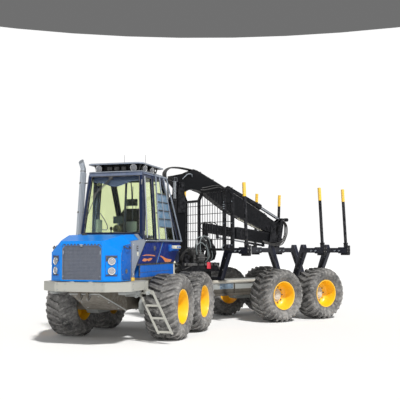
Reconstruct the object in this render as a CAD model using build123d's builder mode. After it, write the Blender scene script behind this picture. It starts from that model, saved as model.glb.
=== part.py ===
from build123d import *
import os
from math import radians, tan

# An eight-wheeled forestry forwarder, parked with its front unit steered to the left and its crane
# folded over the load space. Millimetres. X points forward along the rear unit, Y to its left, Z up.
# Every piece is drawn from the centre of the articulation, at ground level: the rear unit as it
# stands, the front unit straight ahead along X. Saving a front piece turns it by the steering angle.

os.makedirs("parts", exist_ok=True)

# Stance
steer_at_rest = 36.56
origin_x = -640
origin_y = 880
running_gap = 0.5
moving_gap = 6

# Wheels
axle_spacing = 1500
half_track = 1095
tyre_radius = 665
tyre_width = 690
tread_radius = 612
lug_top = tyre_radius
lug_count = 16
lug_width = 55
lug_sweep = 105
lug_stagger = 58
bead_radius = 337
rim_flange_radius = 358
rim_half_width = 278
rim_wall = 12
disc_offset = -60
disc_thickness = 18
hub_radius = 135
hub_length = 34

# Bogies and axles
front_bogie_x = 1775
rear_bogie_x = -3480
beam_inner_y = 470
beam_outer_y = 735
beam_end_radius = 175
beam_rise = 60
stub_radius = 120
axle_radius = 130
axle_block = 290
axle_top = 800

# Front frame
front_frame_half = 400
front_frame_rear = 330
front_frame_low = 620
front_frame_top = 1210
nose_start = 3200
nose_end = 4310
nose_half_low = 440
nose_half_end = 290
deck_half = 715
deck_top = 1268
deck_rear = 700
deck_front = 3230

# Ladder
ladder_x = 3325
ladder_top = 1030
ladder_low = 200
ladder_lean = 425
ladder_wide = 280
ladder_tube = 40

# Towing lugs under the nose
tow_x = 4200
tow_z = 960
tow_hole_radius = 26

# Bumper
bumper_front = 4400
bumper_corner_x = 4100
bumper_half = 905
bumper_face_half = 510
bumper_rear = 3250
bumper_low = 1050
bumper_top = 1222
bumper_wall = 90
ladder_inner = bumper_half - 195
ear_reach = 85
pad_inner = 150
pad_outer = 230

# Articulation
yoke_radius = 120
yoke_low = 630
yoke_high = 1110
lug_plate = 50
ring_radius = 205
ring_rear = -200
ring_front = -150

# Hood
hood_rear = 3060
hood_corner_x = 4160
hood_front = 4340
hood_half = 720
hood_face_half = 430
hood_low = 1235
hood_bend_x = 3750
hood_bend_half = 570
hood_top_front = 1985
hood_top_bend = 2100
hood_shoulder_drop = 150
hood_top_rear = 2130
hood_top_half = 600
hood_wall = 25
grille_half = 405
grille_low = 1262
grille_top = 1905
grille_corner = 60
lamp_radius = 62
lamp_heights = (1610, 1430)

# Cab
cab_wall = 40
cab_half = 700
cab_roof_half = 605
cab_floor = 1530
cab_waist = 2000
cab_roof = 3430
cab_front = 3030
cab_front_foot = 2130
cab_header_x = 2830
cab_rear = 850
cab_rear_roof = 1700
skirt_outer = 720
glass_thickness = 8
glass_depth = 14
door_rear = 2330
door_sill = cab_floor + cab_wall + moving_gap
door_foot = door_rear + 95
door_head = 3370

# Rear frame
rear_frame_end = -5120
rear_box_half = 300
rear_frame_low = 650
rear_frame_top = 1040
rear_flange_half = 340
rear_rail_radius = 40

# Load space
bunk_x = (-1520, -4120, -5020)
bunk_thickness = 120
bunk_tip = 1450
arm_low = 1710
arm_top = 1880
knee_y = 735
stake_radius = 42
stake_foot_y = 1365
stake_top_y = 1270
stake_top = 3450
gate_x = -1080
gate_thickness = 60
gate_half = 1410
gate_low = 1790
gate_top = 3295
gate_corner = 210
gate_member = 60
gate_post_y = 1070
notch_centre = -280
notch_half_top = 415
notch_half_low = 260
notch_depth = 215
wire_half = 4
wire_pitch = 104
cross_pitch = 215

# Crane
column_x = -450
column_half_x = 130
column_half_y = 120
column_top = 3140
crane_base_top = 1280
slew_top = 1490
slew_front = -290
slew_rear = -1440
slew_half = 400
boom_pin_z = 3420
boom_half = 105
cheek_thickness = 32
stick_half = 80
stick_depth = 310
knuckle = (-3760, 2075)
stick_tip = (-1240, 2374)
boom_tip_pin = (-3520, 2420)
rod_eye = (-3880, 2620)
lift_x = -235
lift_y = 158
lift_barrel_radius = 45
lift_rod_radius = 32
lift_eye_z = 3540
lift_stroke = 345
barrel_low = 1700
barrel_top = 3060
rod_low = 2700
grapple_x = -1290
grapple_half = 120
hang_z = 2200
hanger_half = 38
jaw_pin_y = 75
jaw_pin_z = 1985
jaw_tip_z = 1505
jaw_belly_y = 290


def outline(plane, points):
    with BuildSketch(plane) as face:
        with BuildLine():
            Polyline(*points, close=True)
        make_face()
    return face.sketch


def side_face(points, y=0.0):
    return outline(Plane.XZ.offset(-y), points)


def front_face(points, x=0.0):
    return outline(Plane.YZ.offset(x), points)


def top_face(points, z=0.0):
    return outline(Plane.XY.offset(z), points)


def block(x, y, z, mode=Mode.ADD):
    middle = ((x[0] + x[1]) / 2, (y[0] + y[1]) / 2, (z[0] + z[1]) / 2)
    with Locations(middle):
        Box(abs(x[1] - x[0]), abs(y[1] - y[0]), abs(z[1] - z[0]), mode=mode)


def rod(start, end, radius, mode=Mode.ADD, sides=0):
    with BuildLine():
        spine = Line(start, end)
    with BuildSketch(Plane(origin=start, z_dir=spine % 0)) as ring:
        if sides:
            RegularPolygon(radius, sides)
        else:
            Circle(radius)
    extrude(ring.sketch, amount=spine.length, mode=mode)


def save(part, name, front=False):
    placed = part.rotate(Axis.Z, steer_at_rest) if front else part
    placed = placed.moved(Location((-origin_x, -origin_y, 0)))
    placed.label = name
    export_step(placed, f"parts/{name}.step")


# Tyres and rims are made of flat-sided sectors, one for each pair of lugs
half_width = tyre_width / 2
tread_edge = half_width - 15
bead_y = rim_half_width - rim_wall - 2
sector_angle = 360 / lug_count
wedge_reach = tyre_radius * tan(radians(sector_angle / 2))


def sector(profile):
    with BuildPart() as solid:
        extrude(front_face(profile), amount=wedge_reach, both=True)
        wedge = [(0, 0), (-wedge_reach, tyre_radius), (wedge_reach, tyre_radius)]
        extrude(side_face(wedge), amount=half_width, both=True, mode=Mode.INTERSECT)
    return solid.part


# Tyre: carcass with a bulged outer wall, and two staggered chevron lugs on every sector
tyre_profile = [
    (-250, bead_radius),
    (-250, bead_radius + 8),
    (-tread_edge, tread_radius),
    (tread_edge, tread_radius),
    (half_width, 500),
    (bead_y, rim_flange_radius + 6),
    (bead_y, bead_radius),
]
with BuildPart() as tread_sector:
    add(sector(tyre_profile))
    for side, shift in ((1, lug_stagger), (-1, 0)):
        lug = extrude(
            top_face(
                [
                    (shift, side * 6),
                    (shift + lug_width, side * 6),
                    (shift + lug_width - lug_sweep + 12, side * tread_edge),
                    (shift - lug_sweep, side * tread_edge),
                ],
                tread_radius - 30,
            ),
            amount=lug_top - tread_radius + 30,
            mode=Mode.PRIVATE,
        )
        shoulder = extrude(
            front_face(
                [
                    (0, tread_radius - 60),
                    (0, lug_top + 10),
                    (side * (tread_edge - 60), lug_top + 10),
                    (side * (tread_edge - 60), lug_top),
                    (side * tread_edge, tread_radius),
                    (side * (tread_edge - 40), tread_radius - 60),
                ],
                -200,
            ),
            amount=400,
            mode=Mode.PRIVATE,
        )
        add(lug & shoulder)
with BuildPart() as tyre:
    for step in range(lug_count):
        add(tread_sector.part.rotate(Axis.Y, step * sector_angle))

# Rim: a barrel in the tyre's bore, an outer flange, a dished disc and the hub it bolts to
barrel = bead_radius - running_gap
inside = barrel - rim_wall
face_y = disc_offset + disc_thickness
rim_profile = [
    (disc_offset, 0),
    (disc_offset, inside),
    (-bead_y, inside),
    (-bead_y, barrel),
    (bead_y + 2, barrel),
    (rim_half_width, rim_flange_radius - 7),
    (rim_half_width, inside),
    (face_y, inside - 110),
    (face_y, 0),
]
with BuildPart() as rim:
    for step in range(lug_count):
        add(sector(rim_profile).rotate(Axis.Y, step * sector_angle))
    rod((0, face_y, 0), (0, face_y + hub_length, 0), hub_radius, sides=12)

units = {"front": front_bogie_x, "rear": rear_bogie_x}
for unit, bogie_x in units.items():
    for end, along in (("fore", axle_spacing / 2), ("aft", -axle_spacing / 2)):
        for side, sign in (("left", 1), ("right", -1)):
            place = Location((bogie_x + along, sign * half_track, tyre_radius))
            for piece, kind in ((tyre, "tyre"), (rim, "rim")):
                handed = piece.part if sign > 0 else piece.part.mirror(Plane.XZ)
                save(handed.moved(place), f"{kind}_{unit}_{end}_{side}", unit == "front")

# Bogie beams: a gear case between each pair of wheels, with a stub axle out to each hub
for unit, bogie_x in units.items():
    for side, sign in (("left", 1), ("right", -1)):
        stub_end = half_track + disc_offset - running_gap
        with BuildPart() as bogie:
            wide = beam_outer_y - beam_inner_y
            tip = axle_spacing / 2 + beam_end_radius
            knee = axle_spacing / 2 + beam_end_radius / 2.4
            case = [
                (bogie_x + x, tyre_radius + z)
                for x, z in (
                    (-tip, -beam_end_radius / 2.4),
                    (-knee, -beam_end_radius),
                    (knee, -beam_end_radius),
                    (tip, -beam_end_radius / 2.4),
                    (tip, beam_end_radius / 2.4),
                    (knee, beam_end_radius),
                    (330, beam_end_radius),
                    (190, beam_end_radius + beam_rise),
                    (-190, beam_end_radius + beam_rise),
                    (-330, beam_end_radius),
                    (-knee, beam_end_radius),
                    (-tip, beam_end_radius / 2.4),
                )
            ]
            extrude(side_face(case, beam_outer_y), amount=wide)
            for along in (-axle_spacing / 2, axle_spacing / 2):
                centre = (bogie_x + along, beam_outer_y - 10, tyre_radius)
                rod(centre, (centre[0], stub_end, tyre_radius), stub_radius, sides=16)
        piece = bogie.part if sign > 0 else bogie.part.mirror(Plane.XZ)
        save(piece, f"bogie_{unit}_{side}", unit == "front")

# Axles: a block let into the frame from below, with a journal out to each bogie
for unit, bogie_x in units.items():
    with BuildPart() as axle:
        reach = beam_inner_y - running_gap
        frame_half = front_frame_half if unit == "front" else rear_box_half
        for sign in (1, -1):
            inner_end = (bogie_x, sign * (frame_half - 10), tyre_radius)
            rod(inner_end, (bogie_x, sign * reach, tyre_radius), axle_radius, sides=24)
        block(
            (bogie_x - axle_block / 2, bogie_x + axle_block / 2),
            (-frame_half, frame_half),
            (tyre_radius - axle_radius - 5, axle_top),
        )
    save(axle.part, f"axle_{unit}", unit == "front")

# Front frame: box frame over the axle, belly plate up to the bumper, deck, and the hinge lugs
with BuildPart() as front_frame:
    extrude(
        side_face(
            [
                (nose_start, front_frame_low),
                (nose_start, front_frame_top),
                (nose_end, front_frame_top),
                (nose_end, bumper_low),
            ]
        ),
        amount=nose_half_low,
        both=True,
    )
    extrude(
        top_face(
            [
                (nose_start, -nose_half_low),
                (nose_end, -nose_half_end),
                (nose_end, nose_half_end),
                (nose_start, nose_half_low),
            ],
            front_frame_low,
        ),
        amount=front_frame_top - front_frame_low,
        mode=Mode.INTERSECT,
    )
    block(
        (front_frame_rear, nose_start),
        (-front_frame_half, front_frame_half),
        (front_frame_low, front_frame_top),
    )
    block(
        (front_bogie_x - axle_block / 2, front_bogie_x + axle_block / 2),
        (-front_frame_half, front_frame_half),
        (front_frame_low, axle_top),
        mode=Mode.SUBTRACT,
    )
    for low in (yoke_low - running_gap - lug_plate, yoke_high + running_gap):
        with BuildSketch(Plane.XY.offset(low)):
            with Locations((front_frame_rear / 2, 0)):
                Rectangle(front_frame_rear + 40, 2 * yoke_radius)
            Circle(yoke_radius)
        extrude(amount=lug_plate)
    for low, high in (
        (yoke_low - running_gap - lug_plate, yoke_low - running_gap),
        (yoke_high + running_gap, yoke_high + running_gap + lug_plate),
    ):
        block((front_frame_rear, front_frame_rear + 60), (-220, 220), (low, high))
    for sign in (1, -1):
        block((tow_x - 60, tow_x + 60), (sign * 60, sign * 100), (tow_z - 45, 1060))
    rod((tow_x, -100, tow_z), (tow_x, 100, tow_z), tow_hole_radius, mode=Mode.SUBTRACT)
save(front_frame.part, "front_frame", True)

# Deck: the plate that carries the cab and the side boxes
with BuildPart() as deck:
    block((deck_rear, deck_front), (-deck_half, deck_half), (front_frame_top, deck_top))
save(deck.part, "front_deck", True)

# Articulation yoke: upright hinge hub between the front frame's lugs, carried on the roll ring
with BuildPart() as yoke:
    rod((0, 0, yoke_low), (0, 0, yoke_high), yoke_radius, sides=20)
    block((ring_front, 0), (-yoke_radius, yoke_radius), (yoke_low + 60, yoke_high - 60))
    ring_z = (yoke_low + yoke_high) / 2
    rod((ring_rear, 0, ring_z), (ring_front, 0, ring_z), ring_radius, sides=24)
save(yoke.part, "articulation_yoke")

# Bumper: a plate beam bent round the nose, with a tread deck inside it
bumper_plan = [
    (bumper_rear, -bumper_half),
    (bumper_corner_x, -bumper_half),
    (bumper_front, -bumper_face_half),
    (bumper_front, bumper_face_half),
    (bumper_corner_x, bumper_half),
    (bumper_rear, bumper_half),
]
inside_half = bumper_half - bumper_wall
bumper_inside = [
    (bumper_rear, -inside_half),
    (bumper_corner_x - 42, -inside_half),
    (bumper_front - bumper_wall, -bumper_face_half + 32),
    (bumper_front - bumper_wall, bumper_face_half - 32),
    (bumper_corner_x - 42, inside_half),
    (bumper_rear, inside_half),
]
with BuildPart() as bumper:
    extrude(top_face(bumper_plan, bumper_low), amount=bumper_top - bumper_low)
    extrude(
        top_face(bumper_inside, bumper_low),
        amount=front_frame_top - bumper_low,
        mode=Mode.SUBTRACT,
    )
    ear = [
        (bumper_half - 60, bumper_low + 10),
        (bumper_half, bumper_low + 10),
        (bumper_half + ear_reach, ladder_top),
        (bumper_half + ear_reach, ladder_top - 55),
        (bumper_half + 25, ladder_top - 55),
        (bumper_half - 60, bumper_low - 40),
    ]
    for x in (ladder_x - 25 - running_gap - 12, ladder_x + 25 + running_gap):
        extrude(front_face(ear, x), amount=12)
    for sign in (1, -1):
        block(
            (bumper_front - 100, bumper_front - 55),
            (sign * pad_inner, sign * pad_outer),
            (bumper_top - 12, hood_low - running_gap),
        )
save(bumper.part, "bumper", True)

# Engine: one plain block at its place in the hood
with BuildPart() as engine:
    block((deck_front + 10, 4080), (-340, 340), (bumper_top, 1840))
save(engine.part, "engine", True)


def hood_solid(inset):
    low = hood_low - 10 if inset else hood_low
    back = hood_rear - 10 if inset else hood_rear
    half = hood_half - inset
    nose = hood_front - inset
    with BuildPart() as solid:
        extrude(
            side_face(
                [
                    (back, low),
                    (back, hood_top_rear - inset),
                    (hood_bend_x, hood_top_bend - inset),
                    (nose, hood_top_front - inset),
                    (nose, low),
                ]
            ),
            amount=half,
            both=True,
        )
        extrude(
            top_face(
                [
                    (back, -half),
                    (hood_corner_x - inset / 2, -half),
                    (nose, -hood_face_half + inset / 2),
                    (nose, hood_face_half - inset / 2),
                    (hood_corner_x - inset / 2, half),
                    (back, half),
                ],
                low,
            ),
            amount=hood_top_rear - low,
            mode=Mode.INTERSECT,
        )
        for sign in (1, -1):
            shoulder = Vector(hood_bend_x, sign * hood_half, hood_top_bend - hood_shoulder_drop)
            for x, y, z in (
                (hood_rear, hood_top_half, hood_top_rear),
                (hood_front, hood_face_half, hood_top_front),
            ):
                along = Vector(x, sign * y, z) - shoulder
                across = Vector(hood_bend_x, sign * hood_bend_half, hood_top_bend) - shoulder
                outward = along.cross(across).normalized()
                outward = outward if outward.Z > 0 else -outward
                cut = Plane(origin=shoulder - outward * inset, z_dir=outward)
                split(bisect_by=cut, keep=Keep.BOTTOM)
    return solid.part


# Cheeks of the hood: the plane that each pair of headlamps looks out of
cheek_run = hood_front - hood_corner_x
cheek_rise = hood_half - hood_face_half
lamp_x = (hood_front + hood_corner_x) / 2
lamp_y = (hood_half + hood_face_half) / 2
cheek_length = (cheek_run**2 + cheek_rise**2) ** 0.5
cheek_out = (cheek_rise / cheek_length, cheek_run / cheek_length)
grille_outline = [
    (-grille_half, grille_low),
    (grille_half, grille_low),
    (grille_half, grille_top - grille_corner),
    (grille_half - grille_corner, grille_top),
    (-grille_half + grille_corner, grille_top),
    (-grille_half, grille_top - grille_corner),
]


def lamp_axis(sign, height, near, far):
    start = (lamp_x + cheek_out[0] * near, sign * (lamp_y + cheek_out[1] * near), height)
    end = (lamp_x + cheek_out[0] * far, sign * (lamp_y + cheek_out[1] * far), height)
    return start, end


# Hood: a thin shell open below and behind, with the grille and lamp openings cut
panel_front = 3685
with BuildPart() as hood:
    add(hood_solid(0))
    add(hood_solid(hood_wall), mode=Mode.SUBTRACT)
    for sign in (1, -1):
        block(
            (hood_rear - 20, panel_front + moving_gap),
            (sign * (skirt_outer - 30 - moving_gap), sign * (hood_half + 20)),
            (hood_low - 20, hood_top_rear),
            mode=Mode.SUBTRACT,
        )
        for height in lamp_heights:
            start, end = lamp_axis(sign, height, -70, 40)
            rod(start, end, lamp_radius + 1, mode=Mode.SUBTRACT, sides=16)
    extrude(
        front_face(grille_outline, hood_front - 60), amount=80, mode=Mode.SUBTRACT
    )
save(hood.part, "hood", True)

# Grille: a framed panel of upright slots in the front of the hood
with BuildPart() as grille:
    extrude(front_face(grille_outline, hood_front - hood_wall), amount=18)
    slot_pitch = 2 * (grille_half - 25) / 14
    with BuildSketch(Plane.YZ.offset(hood_front - hood_wall)):
        with Locations((0, (grille_low + grille_top - grille_corner) / 2)):
            with GridLocations(slot_pitch, 0, 14, 1):
                Rectangle(slot_pitch * 0.55, grille_top - grille_low - 130)
    extrude(amount=18, mode=Mode.SUBTRACT)
save(grille.part, "grille", True)

# Headlamps: two round lamps in each cheek
with BuildPart() as headlamps:
    for sign in (1, -1):
        for height in lamp_heights:
            start, end = lamp_axis(sign, height, -45, 8)
            rod(start, end, lamp_radius, sides=16)
save(headlamps.part, "headlamps", True)


def cab_solid(inset):
    floor = cab_floor + inset
    roof = cab_roof - inset
    with BuildPart() as solid:
        extrude(
            side_face(
                [
                    (cab_rear + inset, floor),
                    (cab_front - inset, floor),
                    (cab_front - inset, cab_front_foot),
                    (cab_header_x - inset, roof),
                    (cab_rear_roof + inset, roof),
                    (cab_rear + inset, cab_waist),
                ]
            ),
            amount=cab_half + 10,
            both=True,
        )
        extrude(
            front_face(
                [
                    (-cab_half + inset, floor),
                    (cab_half - inset, floor),
                    (cab_half - inset, cab_waist),
                    (cab_roof_half - inset, roof),
                    (-cab_roof_half + inset, roof),
                    (-cab_half + inset, cab_waist),
                ],
                cab_rear - 20,
            ),
            amount=cab_front - cab_rear + 40,
            mode=Mode.INTERSECT,
        )
    return solid.part


# Window and door outlines, drawn in the side plane or across the cab
door_outline = [
    (door_rear, cab_waist),
    (door_foot, door_sill),
    (cab_front - 70, door_sill),
    (cab_front - 70, cab_front_foot),
    (cab_header_x - 60, door_head),
    (door_rear, door_head),
]
door_window = [
    (door_rear + 55, cab_waist + 40),
    (cab_front - 125, cab_waist + 40),
    (cab_front - 125, cab_front_foot),
    (cab_header_x - 110, door_head - 55),
    (door_rear + 55, door_head - 55),
]
side_window = [
    (cab_rear + 110, cab_waist + 40),
    (door_rear - 60, cab_waist + 40),
    (door_rear - 60, door_head - 55),
    (cab_rear_roof + 70, door_head - 55),
]
windscreen = [
    (-cab_half + 85, cab_front_foot + 40),
    (cab_half - 85, cab_front_foot + 40),
    (cab_roof_half - 70, cab_roof - 90),
    (-cab_roof_half + 70, cab_roof - 90),
]
rear_window = [
    (-cab_half + 90, cab_waist + 60),
    (cab_half - 90, cab_waist + 60),
    (cab_roof_half - 75, cab_roof - 90),
    (-cab_roof_half + 75, cab_roof - 90),
]
cab_middle = (cab_rear_roof + cab_header_x) / 2


def side_prism(points, y, depth, gap=0.0):
    with BuildSketch(Plane.XZ.offset(-y)) as face:
        with BuildLine():
            Polyline(*points, close=True)
        make_face()
        if gap:
            offset(amount=gap, kind=Kind.INTERSECTION)
    return extrude(face.sketch, amount=depth, mode=Mode.PRIVATE)


def cross_prism(points, x, depth):
    return extrude(front_face(points, x), amount=depth, mode=Mode.PRIVATE)


side_depth = 220
left_door = side_prism(door_outline, cab_half + 60, side_depth)
left_door_gap = side_prism(door_outline, cab_half + 60, side_depth, moving_gap)
left_door_window = side_prism(door_window, cab_half + 60, side_depth)
right_door_window = side_prism(door_window, -cab_half + side_depth - 60, side_depth)
both_side_windows = side_prism(side_window, cab_half + 60, 2 * cab_half + 120)
screen_prism = cross_prism(windscreen, cab_header_x - 150, 500)
rear_prism = cross_prism(rear_window, cab_rear - 50, cab_rear_roof - cab_rear + 150)

skirt_low = cab_floor + 5
skirt_front = [(3380, skirt_low), (2940, 1965), (door_rear, 1990), (door_foot, skirt_low)]
skirt_rear = [(door_foot, skirt_low), (door_rear, 1990), (780, 1990), (1250, skirt_low)]

# Cab: a hollow shell with its windows and its left doorway cut, and the skirts over its lower sides
with BuildPart() as cab:
    add(cab_solid(0))
    add(cab_solid(cab_wall), mode=Mode.SUBTRACT)
    add(left_door_gap, mode=Mode.SUBTRACT)
    add(right_door_window, mode=Mode.SUBTRACT)
    add(both_side_windows, mode=Mode.SUBTRACT)
    add(screen_prism, mode=Mode.SUBTRACT)
    add(rear_prism, mode=Mode.SUBTRACT)
    skirt = skirt_outer - cab_half
    rear_left = [(x - (moving_gap if x >= door_rear else 0), z) for x, z in skirt_rear]
    extrude(side_face(rear_left, skirt_outer), amount=skirt)
    extrude(side_face(skirt_front, -cab_half), amount=skirt)
    extrude(side_face(skirt_rear, -cab_half), amount=skirt)
save(cab.part, "cab_shell", True)

# Glass: panes let into the walls of the cab, one for each fixed opening
with BuildPart() as glass:
    add(cab_solid(glass_depth))
    add(cab_solid(glass_depth + glass_thickness), mode=Mode.SUBTRACT)
    panes = right_door_window + both_side_windows + screen_prism + rear_prism
    add(panes, mode=Mode.INTERSECT)
save(glass.part, "cab_glass", True)

# Door: the left wall between the pillars, with the skirt that hangs in front of the sill
with BuildPart() as door:
    add(cab_solid(0))
    add(cab_solid(cab_wall), mode=Mode.SUBTRACT)
    add(left_door, mode=Mode.INTERSECT)
    add(left_door_window, mode=Mode.SUBTRACT)
    extrude(side_face(skirt_front, skirt_outer), amount=skirt)
save(door.part, "cab_door", True)

with BuildPart() as door_glass:
    add(cab_solid(glass_depth))
    add(cab_solid(glass_depth + glass_thickness), mode=Mode.SUBTRACT)
    add(left_door_window, mode=Mode.INTERSECT)
save(door_glass.part, "door_glass", True)

# Roof visor with its row of work lamps
visor_front = 2900
visor_rear = 1660
visor_half = 600
visor_low = 3585
visor_high = 3615
with BuildPart() as visor:
    extrude(
        top_face(
            [
                (visor_rear, -visor_half),
                (visor_front - 60, -visor_half),
                (visor_front, -visor_half + 90),
                (visor_front, visor_half - 90),
                (visor_front - 60, visor_half),
                (visor_rear, visor_half),
            ],
            visor_low,
        ),
        amount=visor_high - visor_low,
    )
    block((visor_rear + 160, visor_front - 160), (-480, 480), (cab_roof, visor_low))
save(visor.part, "roof_visor", True)

with BuildPart() as roof_lamps:
    lamp_face = visor_front - 160
    lamp_z = (cab_roof + visor_low) / 2
    for across in (-400, -150, 150, 400):
        rod((lamp_face, across, lamp_z), (lamp_face + 70, across, lamp_z), 55, sides=12)
save(roof_lamps.part, "roof_lamps", True)

# Window guard: bent tubes and bars in front of the left rear side window
guard_y = cab_half + 45
guard_top_y = cab_roof_half + 45
with BuildPart() as guard:
    for foot, head in ((2225, 2225), (1790, 2000), (1290, 1740), (800, 1560)):
        rod((foot, guard_y, 2015), (head, guard_top_y, 3400), 16, sides=6)
    rod((780, guard_y, 2015), (2240, guard_y, 2015), 18, sides=6)
    rod((1545, guard_top_y, 3400), (2240, guard_top_y, 3400), 18, sides=6)
    for x in (830, 2225):
        block((x - 15, x + 15), (cab_half, guard_y), (cab_waist - 8, cab_waist + 12))
save(guard.part, "window_guard", True)

# Seat and console, seen through the glass
with BuildPart() as seat:
    floor = cab_floor + cab_wall
    block((1700, 2050), (-200, 200), (floor, floor + 250))
    block((1650, 2150), (-250, 250), (floor + 250, floor + 400))
    block((1550, 1670), (-240, 240), (floor + 400, 2760))
save(seat.part, "operator_seat", True)

with BuildPart() as console:
    block((2150, 2350), (-420, -300), (floor, 2080))
    block((2150, 2350), (300, 420), (floor, 2080))
    block((2700, 2760), (-560, -300), (floor, 2400))
    block((2660, 2700), (-600, -260), (2380, 2620))
save(console.part, "cab_console", True)

# Pillar panels: the grey panels between the hood and the cab doors
panel_outline = [
    (panel_front, bumper_top),
    (panel_front, 1985),
    (cab_front + 8, 2035),
    (2946, 2000),
    (2946, 1972),
    (3390, 1552),
    (3580, 1320),
    (3580, bumper_top),
]
with BuildPart() as panels:
    for sign in (1, -1):
        y = skirt_outer if sign > 0 else -skirt_outer + 18
        extrude(side_face(panel_outline, y), amount=18)
save(panels.part, "pillar_panels", True)

# Side boxes: tanks under the cab, above the front wheels, with the pads that the cab stands on
with BuildPart() as boxes:
    for sign in (1, -1):
        block((1250, 3225), (sign * 300, sign * deck_half), (deck_top, 1515))
        for x in (1500, 2900):
            block((x - 60, x + 60), (sign * 420, sign * 540), (1515, cab_floor))
save(boxes.part, "side_boxes", True)

# Exhaust: an upright pipe by the right front pillar, cut off at a slant and turned out
with BuildPart() as exhaust:
    foot = (2930, -800, 1900)
    neck = (2780, -775, 3530)
    rod(foot, neck, 58)
    block((2900, 2960), (-800, -skirt_outer - 1), (1930, 1990))
    with BuildSketch(Plane(origin=neck, z_dir=(-0.1, 0, 1))) as low_ring:
        Circle(58)
    with BuildSketch(Plane(origin=(2830, -800, 3680), z_dir=(0.75, -0.2, 0.63))) as high_ring:
        Circle(62)
    loft(sections=[low_ring.sketch.face(), high_ring.sketch.face()])
save(exhaust.part, "exhaust", True)

# Ladder: two rails and four treads of rectangular tube, hung below the end of the bumper
with BuildPart() as ladder:
    for y in (ladder_inner, ladder_inner + ladder_wide):
        rail = [
            (y, ladder_top),
            (y + ladder_tube, ladder_top),
            (y + ladder_tube + ladder_lean, ladder_low),
            (y + ladder_lean, ladder_low),
        ]
        extrude(front_face(rail, ladder_x - 25), amount=50)
    for z in (960, 720, 480, 220):
        y = ladder_inner + (ladder_top - z - 20) * ladder_lean / (ladder_top - ladder_low)
        block((ladder_x - 25, ladder_x + 25), (y + 20, y + ladder_wide + 20), (z, z + ladder_tube))
save(ladder.part, "ladder", True)

# Rear frame: box beam with top rails and bottom flange, and the plate behind the roll ring
with BuildPart() as rear_frame:
    front_end = ring_rear - running_gap
    block((rear_frame_end, front_end), (-rear_box_half, rear_box_half), (rear_frame_low, rear_frame_top))
    block(
        (rear_frame_end, front_end),
        (-rear_flange_half, rear_flange_half),
        (rear_frame_low, rear_frame_low + 45),
    )
    for sign in (1, -1):
        rail = (sign * rear_box_half, rear_frame_top - rear_rail_radius)
        rod((rear_frame_end, *rail), (front_end, *rail), rear_rail_radius)
    block(
        (rear_bogie_x - axle_block / 2, rear_bogie_x + axle_block / 2),
        (-rear_flange_half - 10, rear_flange_half + 10),
        (rear_frame_low, axle_top),
        mode=Mode.SUBTRACT,
    )
save(rear_frame.part, "rear_frame", False)

# Bunks: three spread-legged bunks with an arm out to each stake
half_bunk = [
    (0, rear_frame_top),
    (400, rear_frame_top),
    (knee_y, arm_low + 20),
    (1130, arm_low + 20),
    (1130, arm_low),
    (bunk_tip, arm_low),
    (bunk_tip, arm_top),
    (1130, arm_top),
    (1130, arm_top - 20),
    (730, arm_top - 20),
    (700, arm_top + 75),
    (655, arm_top + 5),
    (610, arm_top + 75),
    (575, arm_top - 20),
    (270, rear_frame_top + 90),
    (0, rear_frame_top + 90),
]
with BuildPart() as bunks:
    for x in bunk_x:
        for sign in (1, -1):
            half = [(sign * y, z) for y, z in half_bunk]
            extrude(front_face(half, x), amount=bunk_thickness / 2, both=True)
save(bunks.part, "bunks", False)

# Stakes: six round posts that lean in a little
with BuildPart() as stakes:
    rise = stake_top - arm_top
    lean = stake_foot_y - stake_top_y
    length = (rise**2 + lean**2) ** 0.5
    for x in bunk_x:
        for sign in (1, -1):
            with BuildSketch(Plane.XY.offset(arm_top)):
                with Locations((x, sign * stake_foot_y)):
                    RegularPolygon(stake_radius, 12)
            extrude(amount=rise, dir=(0, -sign * lean / length, rise / length))
save(stakes.part, "stakes", False)

# Gate: framed mesh headboard with a notch for the boom, standing on the slewing gear
gate_outer = [
    (-gate_half, gate_low),
    (gate_half, gate_low),
    (gate_half, gate_top - gate_corner),
    (gate_half - gate_corner * 0.35, gate_top - gate_corner * 0.35),
    (gate_half - gate_corner, gate_top),
    (notch_centre + notch_half_top, gate_top),
    (notch_centre + notch_half_low, gate_top - notch_depth),
    (notch_centre - notch_half_low, gate_top - notch_depth),
    (notch_centre - notch_half_top, gate_top),
    (-gate_half + gate_corner, gate_top),
    (-gate_half + gate_corner * 0.35, gate_top - gate_corner * 0.35),
    (-gate_half, gate_top - gate_corner),
]
gate_front = gate_x + gate_thickness / 2
gate_rear = gate_x - gate_thickness / 2
notch_right = notch_centre + notch_half_low + gate_member / 2
notch_left = notch_centre - notch_half_low - gate_member / 2


def gate_prism(inset, start, thickness):
    with BuildSketch(Plane.YZ.offset(start)) as face:
        with BuildLine():
            Polyline(*gate_outer, close=True)
        make_face()
        offset(amount=-inset, kind=Kind.INTERSECTION)
    return extrude(face.sketch, amount=thickness, mode=Mode.PRIVATE)


with BuildPart() as gate:
    add(gate_prism(0, gate_rear, gate_thickness))
    add(gate_prism(gate_member, gate_rear, gate_thickness), mode=Mode.SUBTRACT)
    for y in (gate_post_y, notch_right, notch_left, -gate_post_y):
        high = gate_top - 30 if abs(y) == gate_post_y else gate_top - notch_depth - 20
        block(
            (gate_rear, gate_front),
            (y - gate_member / 2, y + gate_member / 2),
            (gate_low + 20, high),
        )
    for sign in (1, -1):
        leg = [
            (sign * 200, slew_top),
            (sign * 320, slew_top),
            (sign * 460, gate_low + 10),
            (sign * 340, gate_low + 10),
        ]
        extrude(front_face(leg, gate_x), amount=gate_thickness / 2, both=True)
save(gate.part, "headboard", False)

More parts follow.
